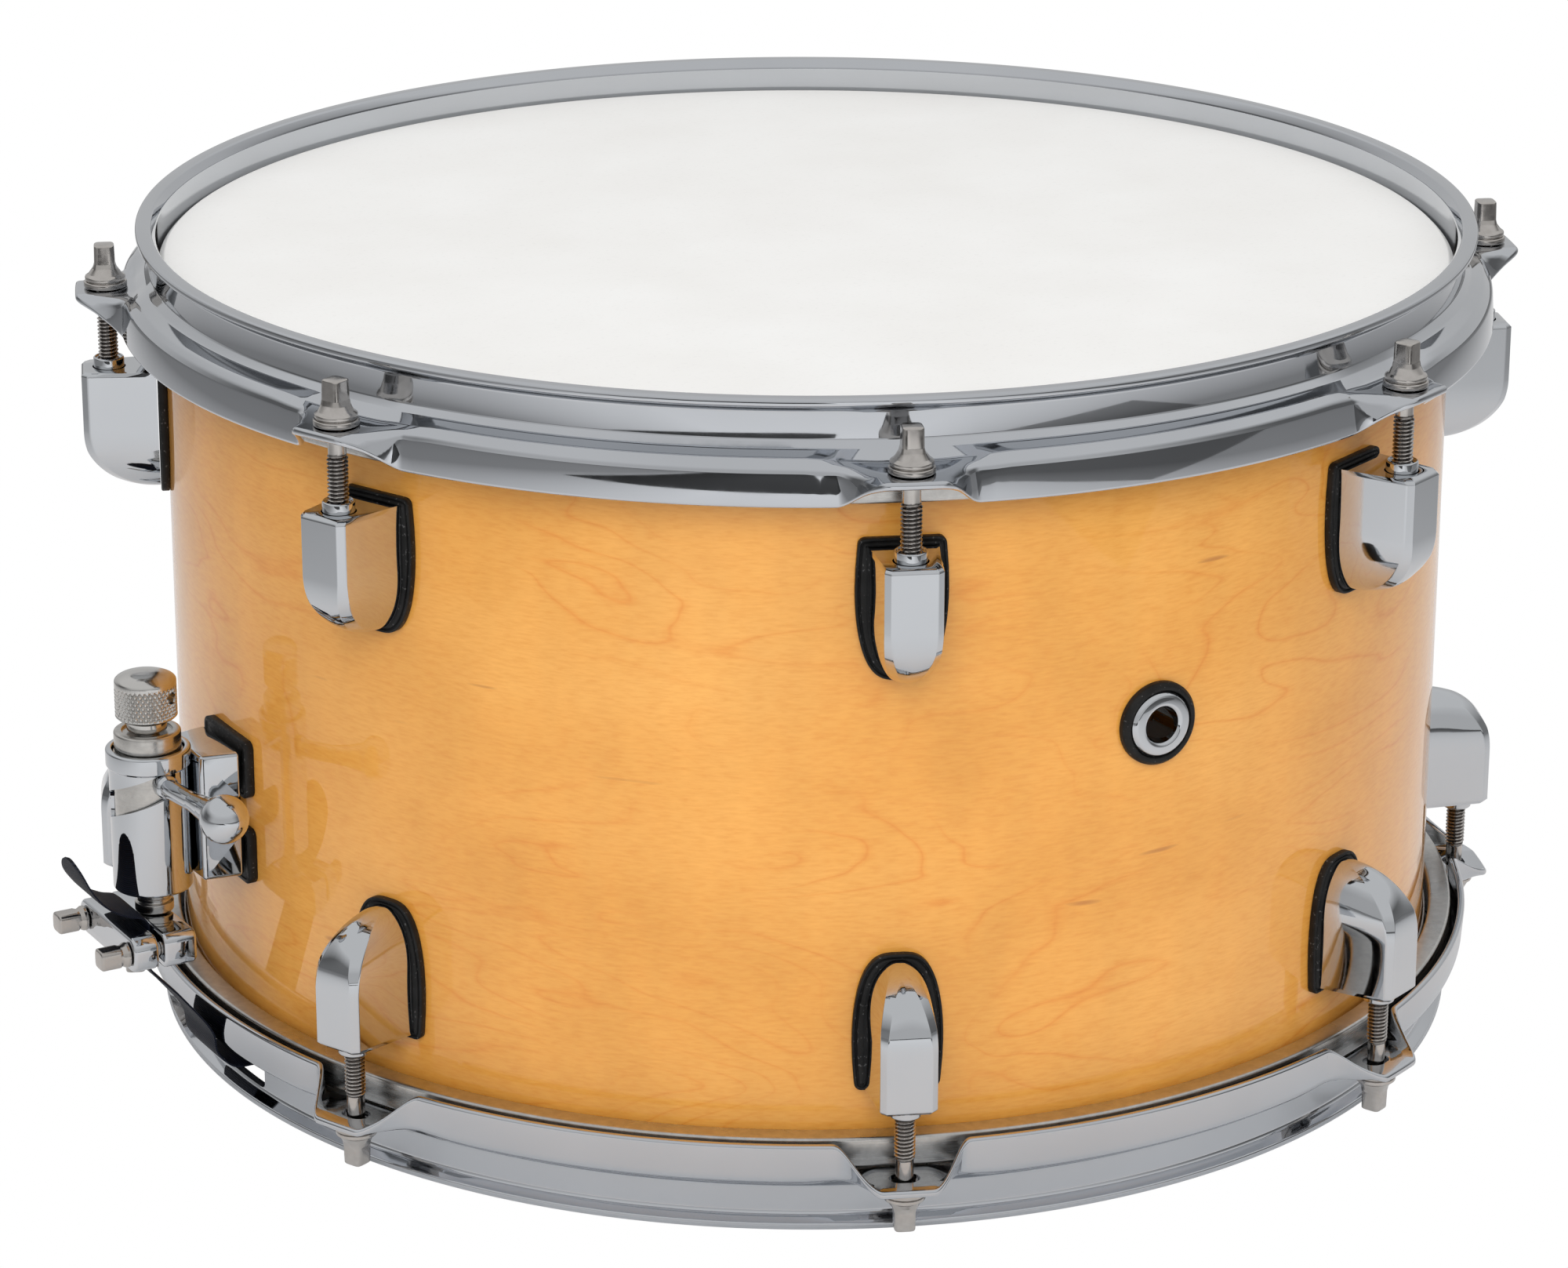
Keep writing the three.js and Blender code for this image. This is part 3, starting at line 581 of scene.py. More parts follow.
def heads():
    low = FILM_TOP - FILM
    collar = SHELL_R + 0.3
    under = [[1, low], [SHELL_R - 1.2, low], [collar, low - 1.4], [collar, 88]]
    over = [[collar + FILM, 88], [collar + FILM, low - 1.2], [SHELL_R - 0.9, FILM_TOP], [1, FILM_TOP]]
    profile = rounded([*under, *over], [0, 0.5, 0.5, 0, 0, 0.9, 0.9, 0], closed=False)
    film = mesh_of(revolved(profile, 224))
    for side, turn in SIDES.items():
        finish = COATED if side == "batter" else CLEAR
        piece(f"{side}_head", shaded(film.copy(), finish, 40), [f"{side}_head_film"], place=turn)
    f = FLESH
    ring = rounded([[f["inner"], f["bottom"]], [f["outer"], f["bottom"]], [f["outer"], f["top"] - 0.5],
                    [f["inner"], f["top"]]], [0.8, 0.8, 1.2, 0.8])
    hoop = shaded(revolved(ring, 224, ring=True), ALUMINIUM)
    for side, turn in SIDES.items():
        piece(f"{side}_flesh_ring", hoop, [f"{side}_flesh_hoop"], place=turn)


# ---- counter hoops ----


def ear_amount(angle, blend):
    """0 between the ears and 1 on an ear's flat."""
    from_ear = np.abs(np.mod(angle / EAR_PITCH, 1) - 0.5) * EAR_PITCH
    t = np.clip((from_ear - EAR_FLAT) / blend, 0, 1)
    return 1 - t * t * (3 - 2 * t)


def hoop_section(angle):
    """The folded sheet: a lip, a wall, a ridged flange, and a skirt that rolls out into an ear."""
    ear, ridge = ear_amount(angle, EAR_BLEND), ear_amount(angle, RIDGE_BLEND)

    def mix(plain, flat, share=ear):
        return plain + (flat - plain) * share

    shoulder = np.array([SHOULDER_R + 7.5 * ear, SHOULDER_Z])
    end = np.array([SHOULDER_R + mix(0.7, EAR), SHOULDER_Z - mix(SKIRT, 0)])
    along = (end - shoulder) / np.linalg.norm(end - shoulder)
    inside = WALL_R - SHEET
    points = [
        [LIP_R, LIP_TOP], [LIP_R, LIP_TOP - 1.8], [WALL_R, LIP_TOP - 3.4], [WALL_R, WALL_FOOT],
        [WALL_R + mix(2, 1.2, ridge), WALL_FOOT - 1.8],
        [SHOULDER_R - mix(2.4, 3.8, ridge), mix(WALL_FOOT - 2.9, SHOULDER_Z + 0.3, ridge)],
        shoulder, end, end + SHEET * np.array([along[1], -along[0]]),
        [shoulder[0] - mix(SHEET, 0), SHOULDER_Z - mix(1, SHEET)],
        [SHOULDER_R - mix(6, 4), SHOULDER_Z + mix(0.66, -1.7)],
        [inside, WALL_FOOT - 2.6], [inside, LIP_TOP - 2.4], [inside + 1.4, LIP_TOP],
    ]
    radii = [0.8, 0.8, 1.6, 1.1, 2.0, 2.6, mix(3.2, 6.0), 0.9, 0.9, mix(1.6, 4.0), 2.2, 2.2, 1.6, 0.9]
    return rounded(points, radii)


def hoop_angles():
    """Angles close together where the skirt swings out and wider between the ears."""
    edge = EAR_FLAT + EAR_BLEND
    spans = ((-edge, -EAR_FLAT, 18), (-EAR_FLAT, EAR_FLAT, 4), (EAR_FLAT, edge, 18),
             (edge, EAR_PITCH - edge, 30))
    one = np.concatenate([np.linspace(start, end, count, endpoint=False) for start, end, count in spans])
    return np.concatenate([one + (i + 0.5) * EAR_PITCH for i in range(STATIONS)])


def hoops():
    angles = hoop_angles()
    sections = np.array([hoop_section(angle) for angle in angles])
    radius, height = sections[..., 0], sections[..., 1]
    turn = angles[:, None]
    sheet = grid(np.stack([radius * np.cos(turn), radius * np.sin(turn), height], -1), ring=True)
    slot = rectangle(ROD_CIRCLE_R - 3.1, ROD_CIRCLE_R + 3.1, -4.0, 4.0, 3.05, 6)
    slot = slab(slot, SHOULDER_Z - 5, SHOULDER_Z + 5, 0.01, 1)
    slots = joined(*[turned_about(slot, "Z", (i + 0.5) * EAR_PITCH) for i in range(STATIONS)])
    window = rectangle(-GATE["half_width"], GATE["half_width"], GATE["low"], GATE["high"], 1.5)
    window = joined(*[slab(window, x - 4.5, x + 4.5, 0.01, 1, "wuv") for x in (-WALL_R, WALL_R)])
    for side, turn in SIDES.items():
        tools = [slots] if side == "batter" else [slots, window]
        mesh = shaded(cut(sheet, *tools), HOOP_CHROME, 62)
        piece(f"{side}_counter_hoop", mesh, [f"{side}_hoop"], place=turn)


# ---- lugs, gaskets and tension rods, drawn with X outward ----


def lug_section(z):
    """A lug's outline at one height: a bevelled block that rounds off into a boat's bow lower down."""
    low = min(1.0, max(0.0, (LUG["bend"] - z) / (LUG["bend"] - LUG["bottom"])))
    left = 1 - low ** LUG["bow"]
    chamfer = max(0.0, z - (LUG["top"] - LUG["top_bevel"]))
    depth = (LUG["front"] - LUG["back"]) * left ** (1 / LUG["bow"]) - chamfer
    wide, face = LUG["wide"] * left**0.42, LUG["narrow"] * left**0.42 - 0.5 * chamfer
    bevel = LUG["bevel"] * (1 + 0.9 * low) * min(1.0, depth / 6, face / 3)
    corners = np.array([(wide, 0), (face, depth - bevel), (face - bevel, depth), (bevel - face, depth),
                        (-face, depth - bevel), (-wide, 0)])
    shares = (0.5 - 0.5 * np.cos(np.linspace(0, math.pi, 10)[:-1]))[:, None]
    block = np.vstack([*[p + (q - p) * shares for p, q in zip(corners, corners[1:])], corners[-1:]])
    bearing = np.arctan2(block[:, 0] / max(wide, 1e-3), block[:, 1] / max(depth, 1e-3))
    bow = np.stack([wide * np.sin(bearing), depth * np.cos(bearing)], -1)
    share = 0.75 * np.clip((low - 0.35) / 0.6, 0, 1) ** 1.3
    across, out = (block * (1 - share) + bow * share).T
    return np.stack([LUG["back"] + out, -across, 0 * out + z], -1)


def lugs():
    top, bevel_foot = LUG["top"], LUG["top"] - LUG["top_bevel"]
    rise = LUG["bend"] - LUG["bottom"]
    foot = LUG["bottom"] + rise * (1 - np.cos(np.linspace(0.02, 0.5, 44) * math.pi))
    body = grid([lug_section(z) for z in (*foot, 60, 66, bevel_foot - 0.2, bevel_foot, top)])
    hole = moved(revolved([[4.55, top - 7], [4.55, top + 3]], 48), x=ROD_CIRCLE_R)
    lug = shaded(cut(body, hole), CHROME, 62)
    collar = rounded([
        [3.0, top - 6.5], [4.2, top - 6.5], [4.2, top + 2.6], [3.75, top + 3.0], [3.5, top + 2.4],
        [3.0, top + 2.2],
    ], [0, 0, 0.4, 0.15, 0.2, 0.2], 3)
    collar = shaded(moved(revolved(collar, 64, ring=True), x=ROD_CIRCLE_R), CHROME, 40)
    gasket = shaded(lug_gasket(), RUBBER, 50)
    inside = SHELL_R - SHELL_WALL
    head = rounded([[0.3, 2.6], [3.0, 2.2], [4.1, 0.9], [4.1, 0.05]], [0, 1.5, 0.8, 0], closed=False)
    washer = [[6.4, -0.6], [6.8, -0.9], [6.8, -1.5]]
    screw = np.vstack([[[0.3, 1.3], [1.4, 1.3]], head[1:], washer])
    screw = turned_about(revolved(screw[::-1], 48), "Y", -math.pi / 2)
    screws = shaded(joined(*[moved(screw, x=inside - 1.2, z=z) for z in (48, 65)]), NICKEL, 40)
    for side, number, turn in stations():
        piece(f"{side}_lug_body_{number}", lug, [f"{side}_lug_{number}"], place=turn)
        piece(f"{side}_swivel_collar_{number}", collar, place=turn)
        piece(f"{side}_lug_gasket_{number}", gasket, place=turn)
        piece(f"{side}_lug_screws_{number}", screws, place=turn)


def on_shell(outline, height):
    """Takes a flat outline of [across, z] onto the shell, that height off it."""
    angle = outline[:, 0] / SHELL_R
    radius = SHELL_R + 0.05 + height
    return np.stack([radius * np.cos(angle), radius * np.sin(angle), outline[:, 1]], -1)


def pad_on_shell(outline, rims):
    """A moulded pad on the shell: rims are (inset, height) from its outer foot to its middle."""
    return grid([on_shell(inset(outline, amount), height) for amount, height in rims])


RIMS = [(3.0, 0.0), (0.25, 0.0), (0.0, 0.25), (0.0, 1.9), (0.15, 2.2), (0.5, 2.3), (0.75, 2.15), (0.9, 1.75),
        (1.15, 1.7), (1.35, 2.2), (1.7, 2.35), (3.2, 2.35)]


def lug_gasket():
    """A shield of rubber, wider than the lug, with a groove inside its rim."""
    top, widest_z, bottom, half = 74.1, 61.0, 36.9, 11.65
    right = []
    for t in np.linspace(0.03, 1, 26) * math.pi / 2:
        right.append([half * math.sin(t) ** 0.62, widest_z - (widest_z - bottom) * math.cos(t) ** 0.95])
    right += [[half - 0.15, 66.0], [half - 0.5, 70.5]]
    corner = rounded([right[-1], [half - 0.8, top], [0, top]], [0, 3, 0], 8, closed=False)[1:-1]
    right = np.vstack([right, corner])
    return pad_on_shell(np.vstack([right, right[::-1] * [-1, 1]]), RIMS)


def tension_rod():
    """A key rod up Z: plain end, rolled thread, smooth shank, washer, flange, cone and square head."""
    columns = 48
    seat = SHOULDER_Z + 0.3
    head_top = 107
    shank = 2.33
    crest, root, pitch, low, high = THREAD.values()
    angles = np.arange(columns) * TAU / columns
    thread_z = np.arange(low, high, pitch / 9)
    phase = thread_z[:, None] / pitch - angles[None, :] / TAU
    wave = np.abs(np.mod(phase, 1) - 0.5) * 2
    wave = np.clip((wave - 0.16) / 0.68, 0, 1)
    fade = np.clip((high - thread_z) / pitch, 0, 1)[:, None]
    thread = shank + ((root + (crest - root) * wave) - shank) * fade
    start = np.array([[2.0, 57.2], [2.6, 57.9], [2.6, 68.3]])
    upper = rounded([
        [shank, high + 0.3], [shank, seat], [5.9, seat], [5.9, seat + 1.6], [5.0, seat + 1.6],
        [5.0, seat + 1.9], [5.5, seat + 1.95], [5.5, seat + 2.9], [4.6, seat + 3.5], [3.3, seat + 5.2],
        [2.85, seat + 6.4], [2.72, head_top], [0.6, head_top],
    ], [0, 0.1, 0.3, 0.5, 0.05, 0.05, 0.4, 0.5, 0.8, 1.6, 1.0, 0.5, 0], closed=False)
    radii = np.vstack([start[:, :1] + 0 * angles, thread, squared(upper, seat + 3.6, 2.6, columns)])
    return bar(radii, np.concatenate([start[:, 1], thread_z, upper[:, 1]]))


def tension_rods():
    mesh = shaded(tension_rod(), THREADED, 38)
    out = Matrix.Translation((ROD_CIRCLE_R * MM, 0, 0))
    for side, number, turn in stations():
        node = f"{side}_tension_rod_{number}"
        piece(f"{side}_key_rod_{number}", mesh, [node], node, turn @ out)


# ---- air vent ----


def vent():
    """A plated grommet, a rubber ring bent to the shell and a nut inside, drawn up Z and laid over to -Y."""
    face = SHELL_R + 0.6
    inside = SHELL_R - SHELL_WALL
    ring = rounded([[4.75, inside - 1.5], [5.3, inside - 1.5], [5.3, face + 0.9], [8.6, face + 0.9],
                    [8.9, face + 1.3], [7.9, face + 2.6], [5.5, face + 2.9], [4.75, face + 2.2]],
                   [0.1, 0.1, 0.2, 0.2, 0.5, 1.2, 1.2, 0.6], 5)
    rubber_ring = rounded([
        [5.45, SHELL_R + 0.1], [11.1, SHELL_R + 0.1], [11.1, face + 1.0], [10.1, face + 2.1],
        [9.1, face + 2.0], [8.9, face + 0.8], [5.45, face + 0.8],
    ], [0, 0.2, 1.0, 0.5, 0.2, 0.1, 0])
    points, faces = revolved(rubber_ring, 96, ring=True)
    points[:, 2] -= points[:, 0] ** 2 / (2 * SHELL_R)
    nut = rounded([[5.4, inside - 1.3], [9.0, inside - 1.3], [9.0, inside - 0.2], [5.4, inside - 0.2]], 0.3)
    for name, shape, finish, nodes in (
        ("vent_ring", revolved(ring, 96, ring=True), CHROME, ["vent_grommet"]),
        ("vent_rubber", (points, faces), RUBBER, []),
        ("vent_nut", revolved(nut, 6, ring=True), NICKEL, []),
    ):
        laid = moved(turned_about(shape, "X", math.pi / 2), z=VENT_Z)
        piece(name, shaded(laid, finish, 30), nodes)


# ---- strainer, drawn with X outward and the lever along +Y, then turned to -X ----

AT_STRAINER = Matrix.Translation((-STRAINER_R * MM, 0, 0)) @ Matrix.Rotation(math.pi, 4, "Z")


def slot_middle(throw_back):
    return SLOT["middle"] - SLOT["drop"] * throw_back / SLOT["throw"]


def slot_tool():
    """The helical band that the lever sweeps, with rounded ends."""
    loops = []
    for throw_back in np.linspace(-SLOT["start"], -SLOT["end"], 64):
        from_end = min(throw_back + SLOT["start"], -SLOT["end"] - throw_back) * HOUSING["radius"]
        gone = max(0.0, SLOT["corner"] - from_end)
        half = SLOT["height"] / 2 - SLOT["corner"] + math.sqrt(max(0.0, SLOT["corner"] ** 2 - gone**2))
        angle = math.pi / 2 - throw_back
        loops.append([
            [r * math.cos(angle), r * math.sin(angle), slot_middle(throw_back) + side * half]
            for r, side in ((HOUSING["bore"] - 2, -1), (HOUSING["bore"] - 2, 1), (HOUSING["rim"] + 2, 1),
                            (HOUSING["rim"] + 2, -1))
        ])
    return grid(loops)


def strainer_housing():
    h = HOUSING
    profile = rounded([
        [h["neck"], h["foot"]], [h["radius"], h["foot"]], [h["radius"], h["rim_foot"]],
        [h["rim"], h["rim_foot"] + 0.6], [h["rim"], h["top"]], [h["bore"], h["top"]], [h["bore"], h["floor"]],
        [h["neck"], h["floor"]],
    ], [0.3, 0.9, 0.3, 0.4, 0.7, 0.35, 0.3, 0.3])
    mesh = cut(revolved(profile, 120, ring=True), slot_tool())
    piece("strainer_tube", shaded(mesh, CHROME, 32), ["strainer_housing"], place=AT_STRAINER)

    b = BRACKET
    near = LUG["back"] + 0.2 - STRAINER_R
    web = -h["rim"] + 0.9
    outline = rounded([
        [near, b["top"]], [near, b["notch_top"]], [near + b["notch"], b["notch_top"]],
        [near + b["notch"], b["notch_bottom"]], [near, b["notch_bottom"]], [near, b["bottom"]],
        [web, b["bottom"]], [web, b["top"]],
    ], [1.2, 1.2, 2.5, 2.5, 1.2, 1.2, 0.8, 0.8], 5)
    points, faces = slab(outline, -b["half"], b["half"], 1.1, 4, "uwv")
    points[:, 1] *= 1 - b["taper"] * (points[:, 0] - near) / (web - near)
    mount = shaded((points, faces), CHROME, 32)
    piece("strainer_mount", mount, ["strainer_bracket"], place=AT_STRAINER)

    half = SHELL_R * 4.3 * DEG
    rims = [(2.0, 0.0), (0.2, 0.0), (0.0, 0.2), (0.0, 2.3), (0.3, 2.6), (1.1, 2.6), (1.35, 2.3), (3.0, 2.3)]
    pads = []
    for low, high in ((b["bottom"] - 2.6, b["notch_bottom"] + 0.4), (b["notch_top"] - 0.4, b["top"] + 2.6)):
        pads.append(pad_on_shell(rectangle(-half, half, low, high, 2.4, 6), rims))
    strip = rectangle(-half / 3, half / 3, b["notch_bottom"] - 1, b["notch_top"] + 1, 0.3)
    pads.append(pad_on_shell(strip, [(1.0, 0.0), (0.0, 0.1), (0.0, 1.6), (0.3, 1.8), (1.5, 1.8)]))
    pads = turned_about(joined(*pads), "Z", math.pi)
    piece("strainer_pads", shaded(pads, RUBBER, 50), ["strainer_gasket"])


def strainer_insides():
    """The piston with its collar and the sleeve that the lever turns."""
    foot = HOUSING["floor"] + 7.6
    profile = rounded([
        [3.3, foot], [7.5, foot], [7.5, -10.6], [8.95, -10.6], [8.95, -5.2], [6.7, -5.2], [6.7, -5.9],
        [3.3, -5.9],
    ], [0.2, 0.2, 0.1, 0.2, 0.7, 0.3, 0.2, 0.2])
    piston = shaded(revolved(profile, 96, ring=True), STEEL, 32)
    piece("drop_piston", piston, ["strainer_piston"], "piston", AT_STRAINER)
    sleeve = rounded([[7.8, foot], [9.35, foot], [9.35, -10.9], [7.8, -10.9]], 0.25, 3)
    sleeve = shaded(revolved(sleeve, 96, ring=True), STEEL, 32)
    piece("lever_sleeve", sleeve, ["cam_sleeve"], "lever", AT_STRAINER)

    root, ball_centre = (0, HOUSING["bore"], SLOT["middle"]), (0, 49.3, -14.2)
    reach = math.dist(root, ball_centre)
    ball, neck = 6.45, 4.4
    joins = reach - math.sqrt(ball**2 - neck**2)
    arm = rounded([
        [0.4, 0.1], [2.9, 0.1], [3.2, 0.5], [3.2, 3.0], [2.85, 3.5], [2.5, 3.8], [2.55, reach * 0.5],
        [3.4, reach * 0.72], [neck, joins],
    ], [0, 0.2, 0.3, 0.4, 0.3, 0.3, 12, 8, 0], 6, closed=False)
    start = math.pi - math.asin(neck / ball)
    sphere = [[ball * math.sin(t), reach + ball * math.cos(t)] for t in np.linspace(start, 0.05, 34)]
    shape = aimed(revolved(np.vstack([arm[:-1], sphere]), 72), root, ball_centre)
    piece("lever_arm", shaded(shape, CHROME, 32), ["throw_lever"], "lever", AT_STRAINER)


def knob():
    """A knurled barrel with a polished dome and a small pin hole in its side."""
    columns, teeth, depth = 456, 38, 0.5
    radius, low, high = 8.25, -1.0, KNOB_TOP - 3.2
    angles = np.arange(columns) * TAU / columns
    band = np.arange(low, high, 0.135)
    pitch = TAU * radius / teeth
    lead = band[:, None] / pitch / 1.5
    crossing = [np.abs(np.mod(angles * teeth / TAU + way * lead, 1) - 0.5) * 2 for way in (1, -1)]
    edge = np.clip(np.minimum(band - low, high - band) / 0.5, 0, 1)[:, None]
    knurl = radius - depth * (1 - np.clip(np.minimum(*crossing) / 0.55, 0, 1)) * edge
    below = rounded([[5.4, -4.9], [5.4, -2.6], [7.0, -1.7], [7.7, -1.7], [radius, -1.15]],
                    [0, 0.3, 0.3, 0.4, 0], 3, closed=False)
    brim = high + 0.85
    above = [[radius, high + 0.05], [radius, brim]]
    for t in np.linspace(80, 3, 22) * DEG:
        above.append([radius * math.sin(t) ** 0.8, brim + (KNOB_TOP - brim) * math.cos(t)])
    rows = [*[np.full(columns, r) for r, _ in below], *knurl, *[np.full(columns, r) for r, _ in above]]
    heights = [*[z for _, z in below], *band, *[z for _, z in above]]
    hole = revolved([[1.7, radius - 2.6], [1.7, radius + 2]], 32)
    hole = turned_about(turned_about(hole, "X", math.pi / 2), "Z", 215 * DEG)
    well = revolved([[3.3, -6], [3.3, 6.1]], 48)
    mesh = cut(bar(np.array(rows), heights), moved(hole, z=(KNOB_TOP - 1.6) / 2), well)
    piece("fine_tension_knob", shaded(mesh, KNOB_STEEL, 24), ["tension_knob"], "knob", AT_STRAINER)


def square_screw(x0, x1, x2, depth):
    """A clamp screw along X: its shank is depth deep, its collar runs x0 to x1 and its square head to x2."""
    profile = rounded([
        [1.9, x0 - depth], [1.9, x0 + 0.3], [3.4, x0 + 0.3], [3.4, x0 + 1.2], [2.8, x1], [2.72, x1 + 0.8],
        [2.72, x2], [0.5, x2],
    ], [0.3, 0.1, 0.3, 0.5, 0.6, 0.3, 0.7, 0], closed=False)
    radii = squared(profile, x1 + 0.2, 0.6, 48)
    return turned_about(bar(radii, profile[:, 1]), "Y", math.pi / 2)


def clamp_bar(x0, x1, half, low, high, radius):
    """A bar across the drum's side with rounded ends and rims, and holes for its two screws."""
    shape = slab(rectangle(-half, half, low, high, radius, 6), x0, x1, min(1.0, (x1 - x0) / 4), 4, "wuv")
    holes = []
    for y in (-CLAMP_SCREW_Y, CLAMP_SCREW_Y):
        hole = turned_about(revolved([[2.2, x0 - 3], [2.2, x1 + 3]], 32), "Y", math.pi / 2)
        holes.append(moved(hole, y=y, z=(low + high) / 2))
    return shaded(cut(shape, *holes), CHROME, 32)


def clamp_screws(prefix, x, depth, place=None):
    for name, y in (("left", -CLAMP_SCREW_Y), ("right", CLAMP_SCREW_Y)):
        mesh = shaded(moved(square_screw(x, x + 2.3, x + 8.6, depth), y=y, z=CLAMP_MIDDLE), NICKEL, 32)
        node = f"{prefix}_screw_{name}"
        piece(f"{prefix}_key_screw_{name}", mesh, [node], node, place)


def strainer_clamp():
    """The stem below the housing, and the block and plate that hold the strap."""
    top = CLAMP_TOP
    stem = rounded([
        [1.0, top + 0.3], [5.25, top + 0.3], [5.25, top + 2.9], [4.6, top + 3.3], [4.6, top + 4.2],
        [5.25, top + 4.6], [5.25, -44.4], [3.0, -44.4], [3.0, 3], [0.5, 3],
    ], [0, 0.5, 0.3, 0.2, 0.2, 0.3, 0.4, 0.2, 0.5, 0], closed=False)
    stem = shaded(revolved(stem, 72), STEEL, 32)
    piece("tension_stem", stem, ["adjuster_stem"], "strap_clamp", AT_STRAINER)
    slit0, slit1 = CLAMP_SLIT - SLIT_HALF, CLAMP_SLIT + SLIT_HALF
    block = clamp_bar(-4, slit0, CLAMP_HALF, CLAMP_BOTTOM, top, 2.6)
    piece("clamp_block", block, ["strap_clamp_block"], "strap_clamp", AT_STRAINER)
    plate = clamp_bar(slit1, slit1 + 7.2, CLAMP_HALF, CLAMP_BOTTOM, top, 3.6)
    piece("clamp_plate", plate, ["strap_clamp_plate"], "strap_clamp", AT_STRAINER)
    clamp_screws("strap_clamp", slit1 + 7.2, slit1 + 7.2 + 3, AT_STRAINER)


def butt_end():
    """The fixed clamp on the far side, on a rubber pad."""
    slit0, slit1 = BUTT_SLIT - SLIT_HALF, BUTT_SLIT + SLIT_HALF
    back = clamp_bar(LUG["back"] + 0.2, slit0, CLAMP_HALF, -68.3, -55.3, 2.5)
    piece("butt_block", back, ["butt_plate"])
    front = clamp_bar(slit1, slit1 + 6.5, CLAMP_HALF, CLAMP_BOTTOM, CLAMP_TOP, 3.2)
    piece("butt_front", front, ["butt_clamp_plate"])
    clamp_screws("butt_clamp", slit1 + 6.5, slit1 + 6.5 - LUG["back"] - 2)
    pad = pad_on_shell(rectangle(-20.5, 20.5, -69.8, -53.8, 2.6, 6), RIMS)
    piece("butt_gasket", shaded(pad, RUBBER, 50))


# ---- straps ----


def ribbon(route, round_end=None):
    """A woven strap along a route of [outward, height], with a map of its length and width in metres.

    round_end is how far from its last point it starts to round off.
    """
    centre = smooth_path(route)
    along = np.gradient(centre, axis=0)
    along /= np.linalg.norm(along, axis=1)[:, None]
    length = np.concatenate([[0], np.cumsum(np.linalg.norm(np.diff(centre, axis=0), axis=1))])
    across = np.linspace(-1, 1, 9)
    section = [(y, 1) for y in across] + [(y, -1) for y in across[::-1]]
    loops, mapped = [], []
    for point, t, s in zip(centre, along, length):
        from_end = length[-1] - s
        half = STRAP_HALF
        if round_end and from_end < round_end:
            half *= math.sqrt(max(0.02, 1 - ((round_end - from_end) / round_end) ** 2))
        normal = np.array([-t[1], t[0]])
        loop = []
        for y, side in section:
            thick = STRAP_THICK / 2 * (1 - 0.45 * abs(y) ** 8)
            x, z = point + normal * side * thick
            loop.append([x, y * half, z])
            mapped.append((s * MM, y * half * MM))
        loops.append(loop)
    mesh = mesh_of(grid(loops))
    layer = mesh.uv_layers.new(name="ribbon")
    uv = np.array(mapped)[[loop.vertex_index for loop in mesh.loops]]
    layer.data.foreach_set("uv", uv.astype(np.float32).ravel())
    return shaded(mesh, WEBBING, 50)


def strap_to_gate(x):
    """From a clamp down over the hoop's shoulder, in at its window and across the bearing edge."""
    outside = SHOULDER_R + 1.6
    gate = -(GATE["low"] + GATE["high"]) / 2
    z = CLAMP_MIDDLE
    return [
        [x, z], [x, z - 2.5], [x, z - 5], [x, z - 7.5], [(x + outside) / 2, z - 18],
        [outside, 3 - SHOULDER_Z], [outside - 1.2, -SHOULDER_Z - 3], [outside - 6, gate + 1],
        [WALL_R - 2, gate + 0.4], [STRAND["half_length"] + 13, WIRES_Z - 0.1],
    ]


def straps():
    x = STRAINER_R + CLAMP_SLIT
    half_turn = Matrix.Rotation(math.pi, 4, "Z")
    run = ribbon(strap_to_gate(x))
    run = piece("strainer_strap", run, ["snare_strap_run"], place=half_turn)
    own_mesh(run)
    tail = [
        [x, CLAMP_MIDDLE + 0.3], [x, CLAMP_TOP + 0.5], [x + 1.5, CLAMP_TOP + 2.3], [x + 5.5, CLAMP_TOP + 3.6],
        [x + 11, CLAMP_TOP + 7], [x + 15.4, CLAMP_TOP + 12.6], [x + 17.5, CLAMP_TOP + 19],
    ]
    piece("strap_tail", ribbon(tail, 9), ["snare_strap_tail"], "strap_clamp", half_turn)
    route = [[BUTT_SLIT, -49.3], [BUTT_SLIT, -55.3], *strap_to_gate(BUTT_SLIT)[1:]]
    piece("butt_side_strap", ribbon(route), ["butt_strap"])


# ---- snare wires ----


def snares():
    """Twenty coiled strands soldered to a plate at each end."""
    pitch, wire = 1.6, 0.19
    coil = STRAND["radius"] - wire
    reach = STRAND["half_length"] + 5
    steps = int(2 * reach / pitch * 9)
    x = np.linspace(-reach, reach, steps)
    turn = TAU * x / pitch
    out = np.stack([0 * x, np.cos(turn), np.sin(turn)], -1)
    along = np.stack([np.full_like(x, pitch / TAU), -coil * np.sin(turn), coil * np.cos(turn)], -1)
    beside = np.cross(along / np.linalg.norm(along, axis=1)[:, None], out)
    section = [(math.cos(a), math.sin(a)) for a in (0, TAU / 3, 2 * TAU / 3)]
    strands = []
    for i in range(STRAND["count"]):
        y = (i - (STRAND["count"] - 1) / 2) * STRAND["pitch"]
        centre = np.stack([x, y + coil * np.cos(turn), WIRES_Z + coil * np.sin(turn)], -1)
        strands.append(grid(np.stack([centre + wire * (c * out + s * beside) for c, s in section], 1)))
    wires = shaded(joined(*strands), NICKEL, 80)
    piece("snare_strands", wires, ["snare_wires"], "snares")
    plates = []
    for side in (-1, 1):
        ends = sorted((side * STRAND["half_length"], side * (STRAND["half_length"] + 12)))
        outline = rectangle(*ends, -21.5, 21.5, 1.5)
        plates.append(slab(outline, WIRES_Z - 0.55, WIRES_Z + 0.55, 0.25, 2))
    piece("snare_end_plates", shaded(joined(*plates), CHROME, 32), body="snares")


# ---- studio ----

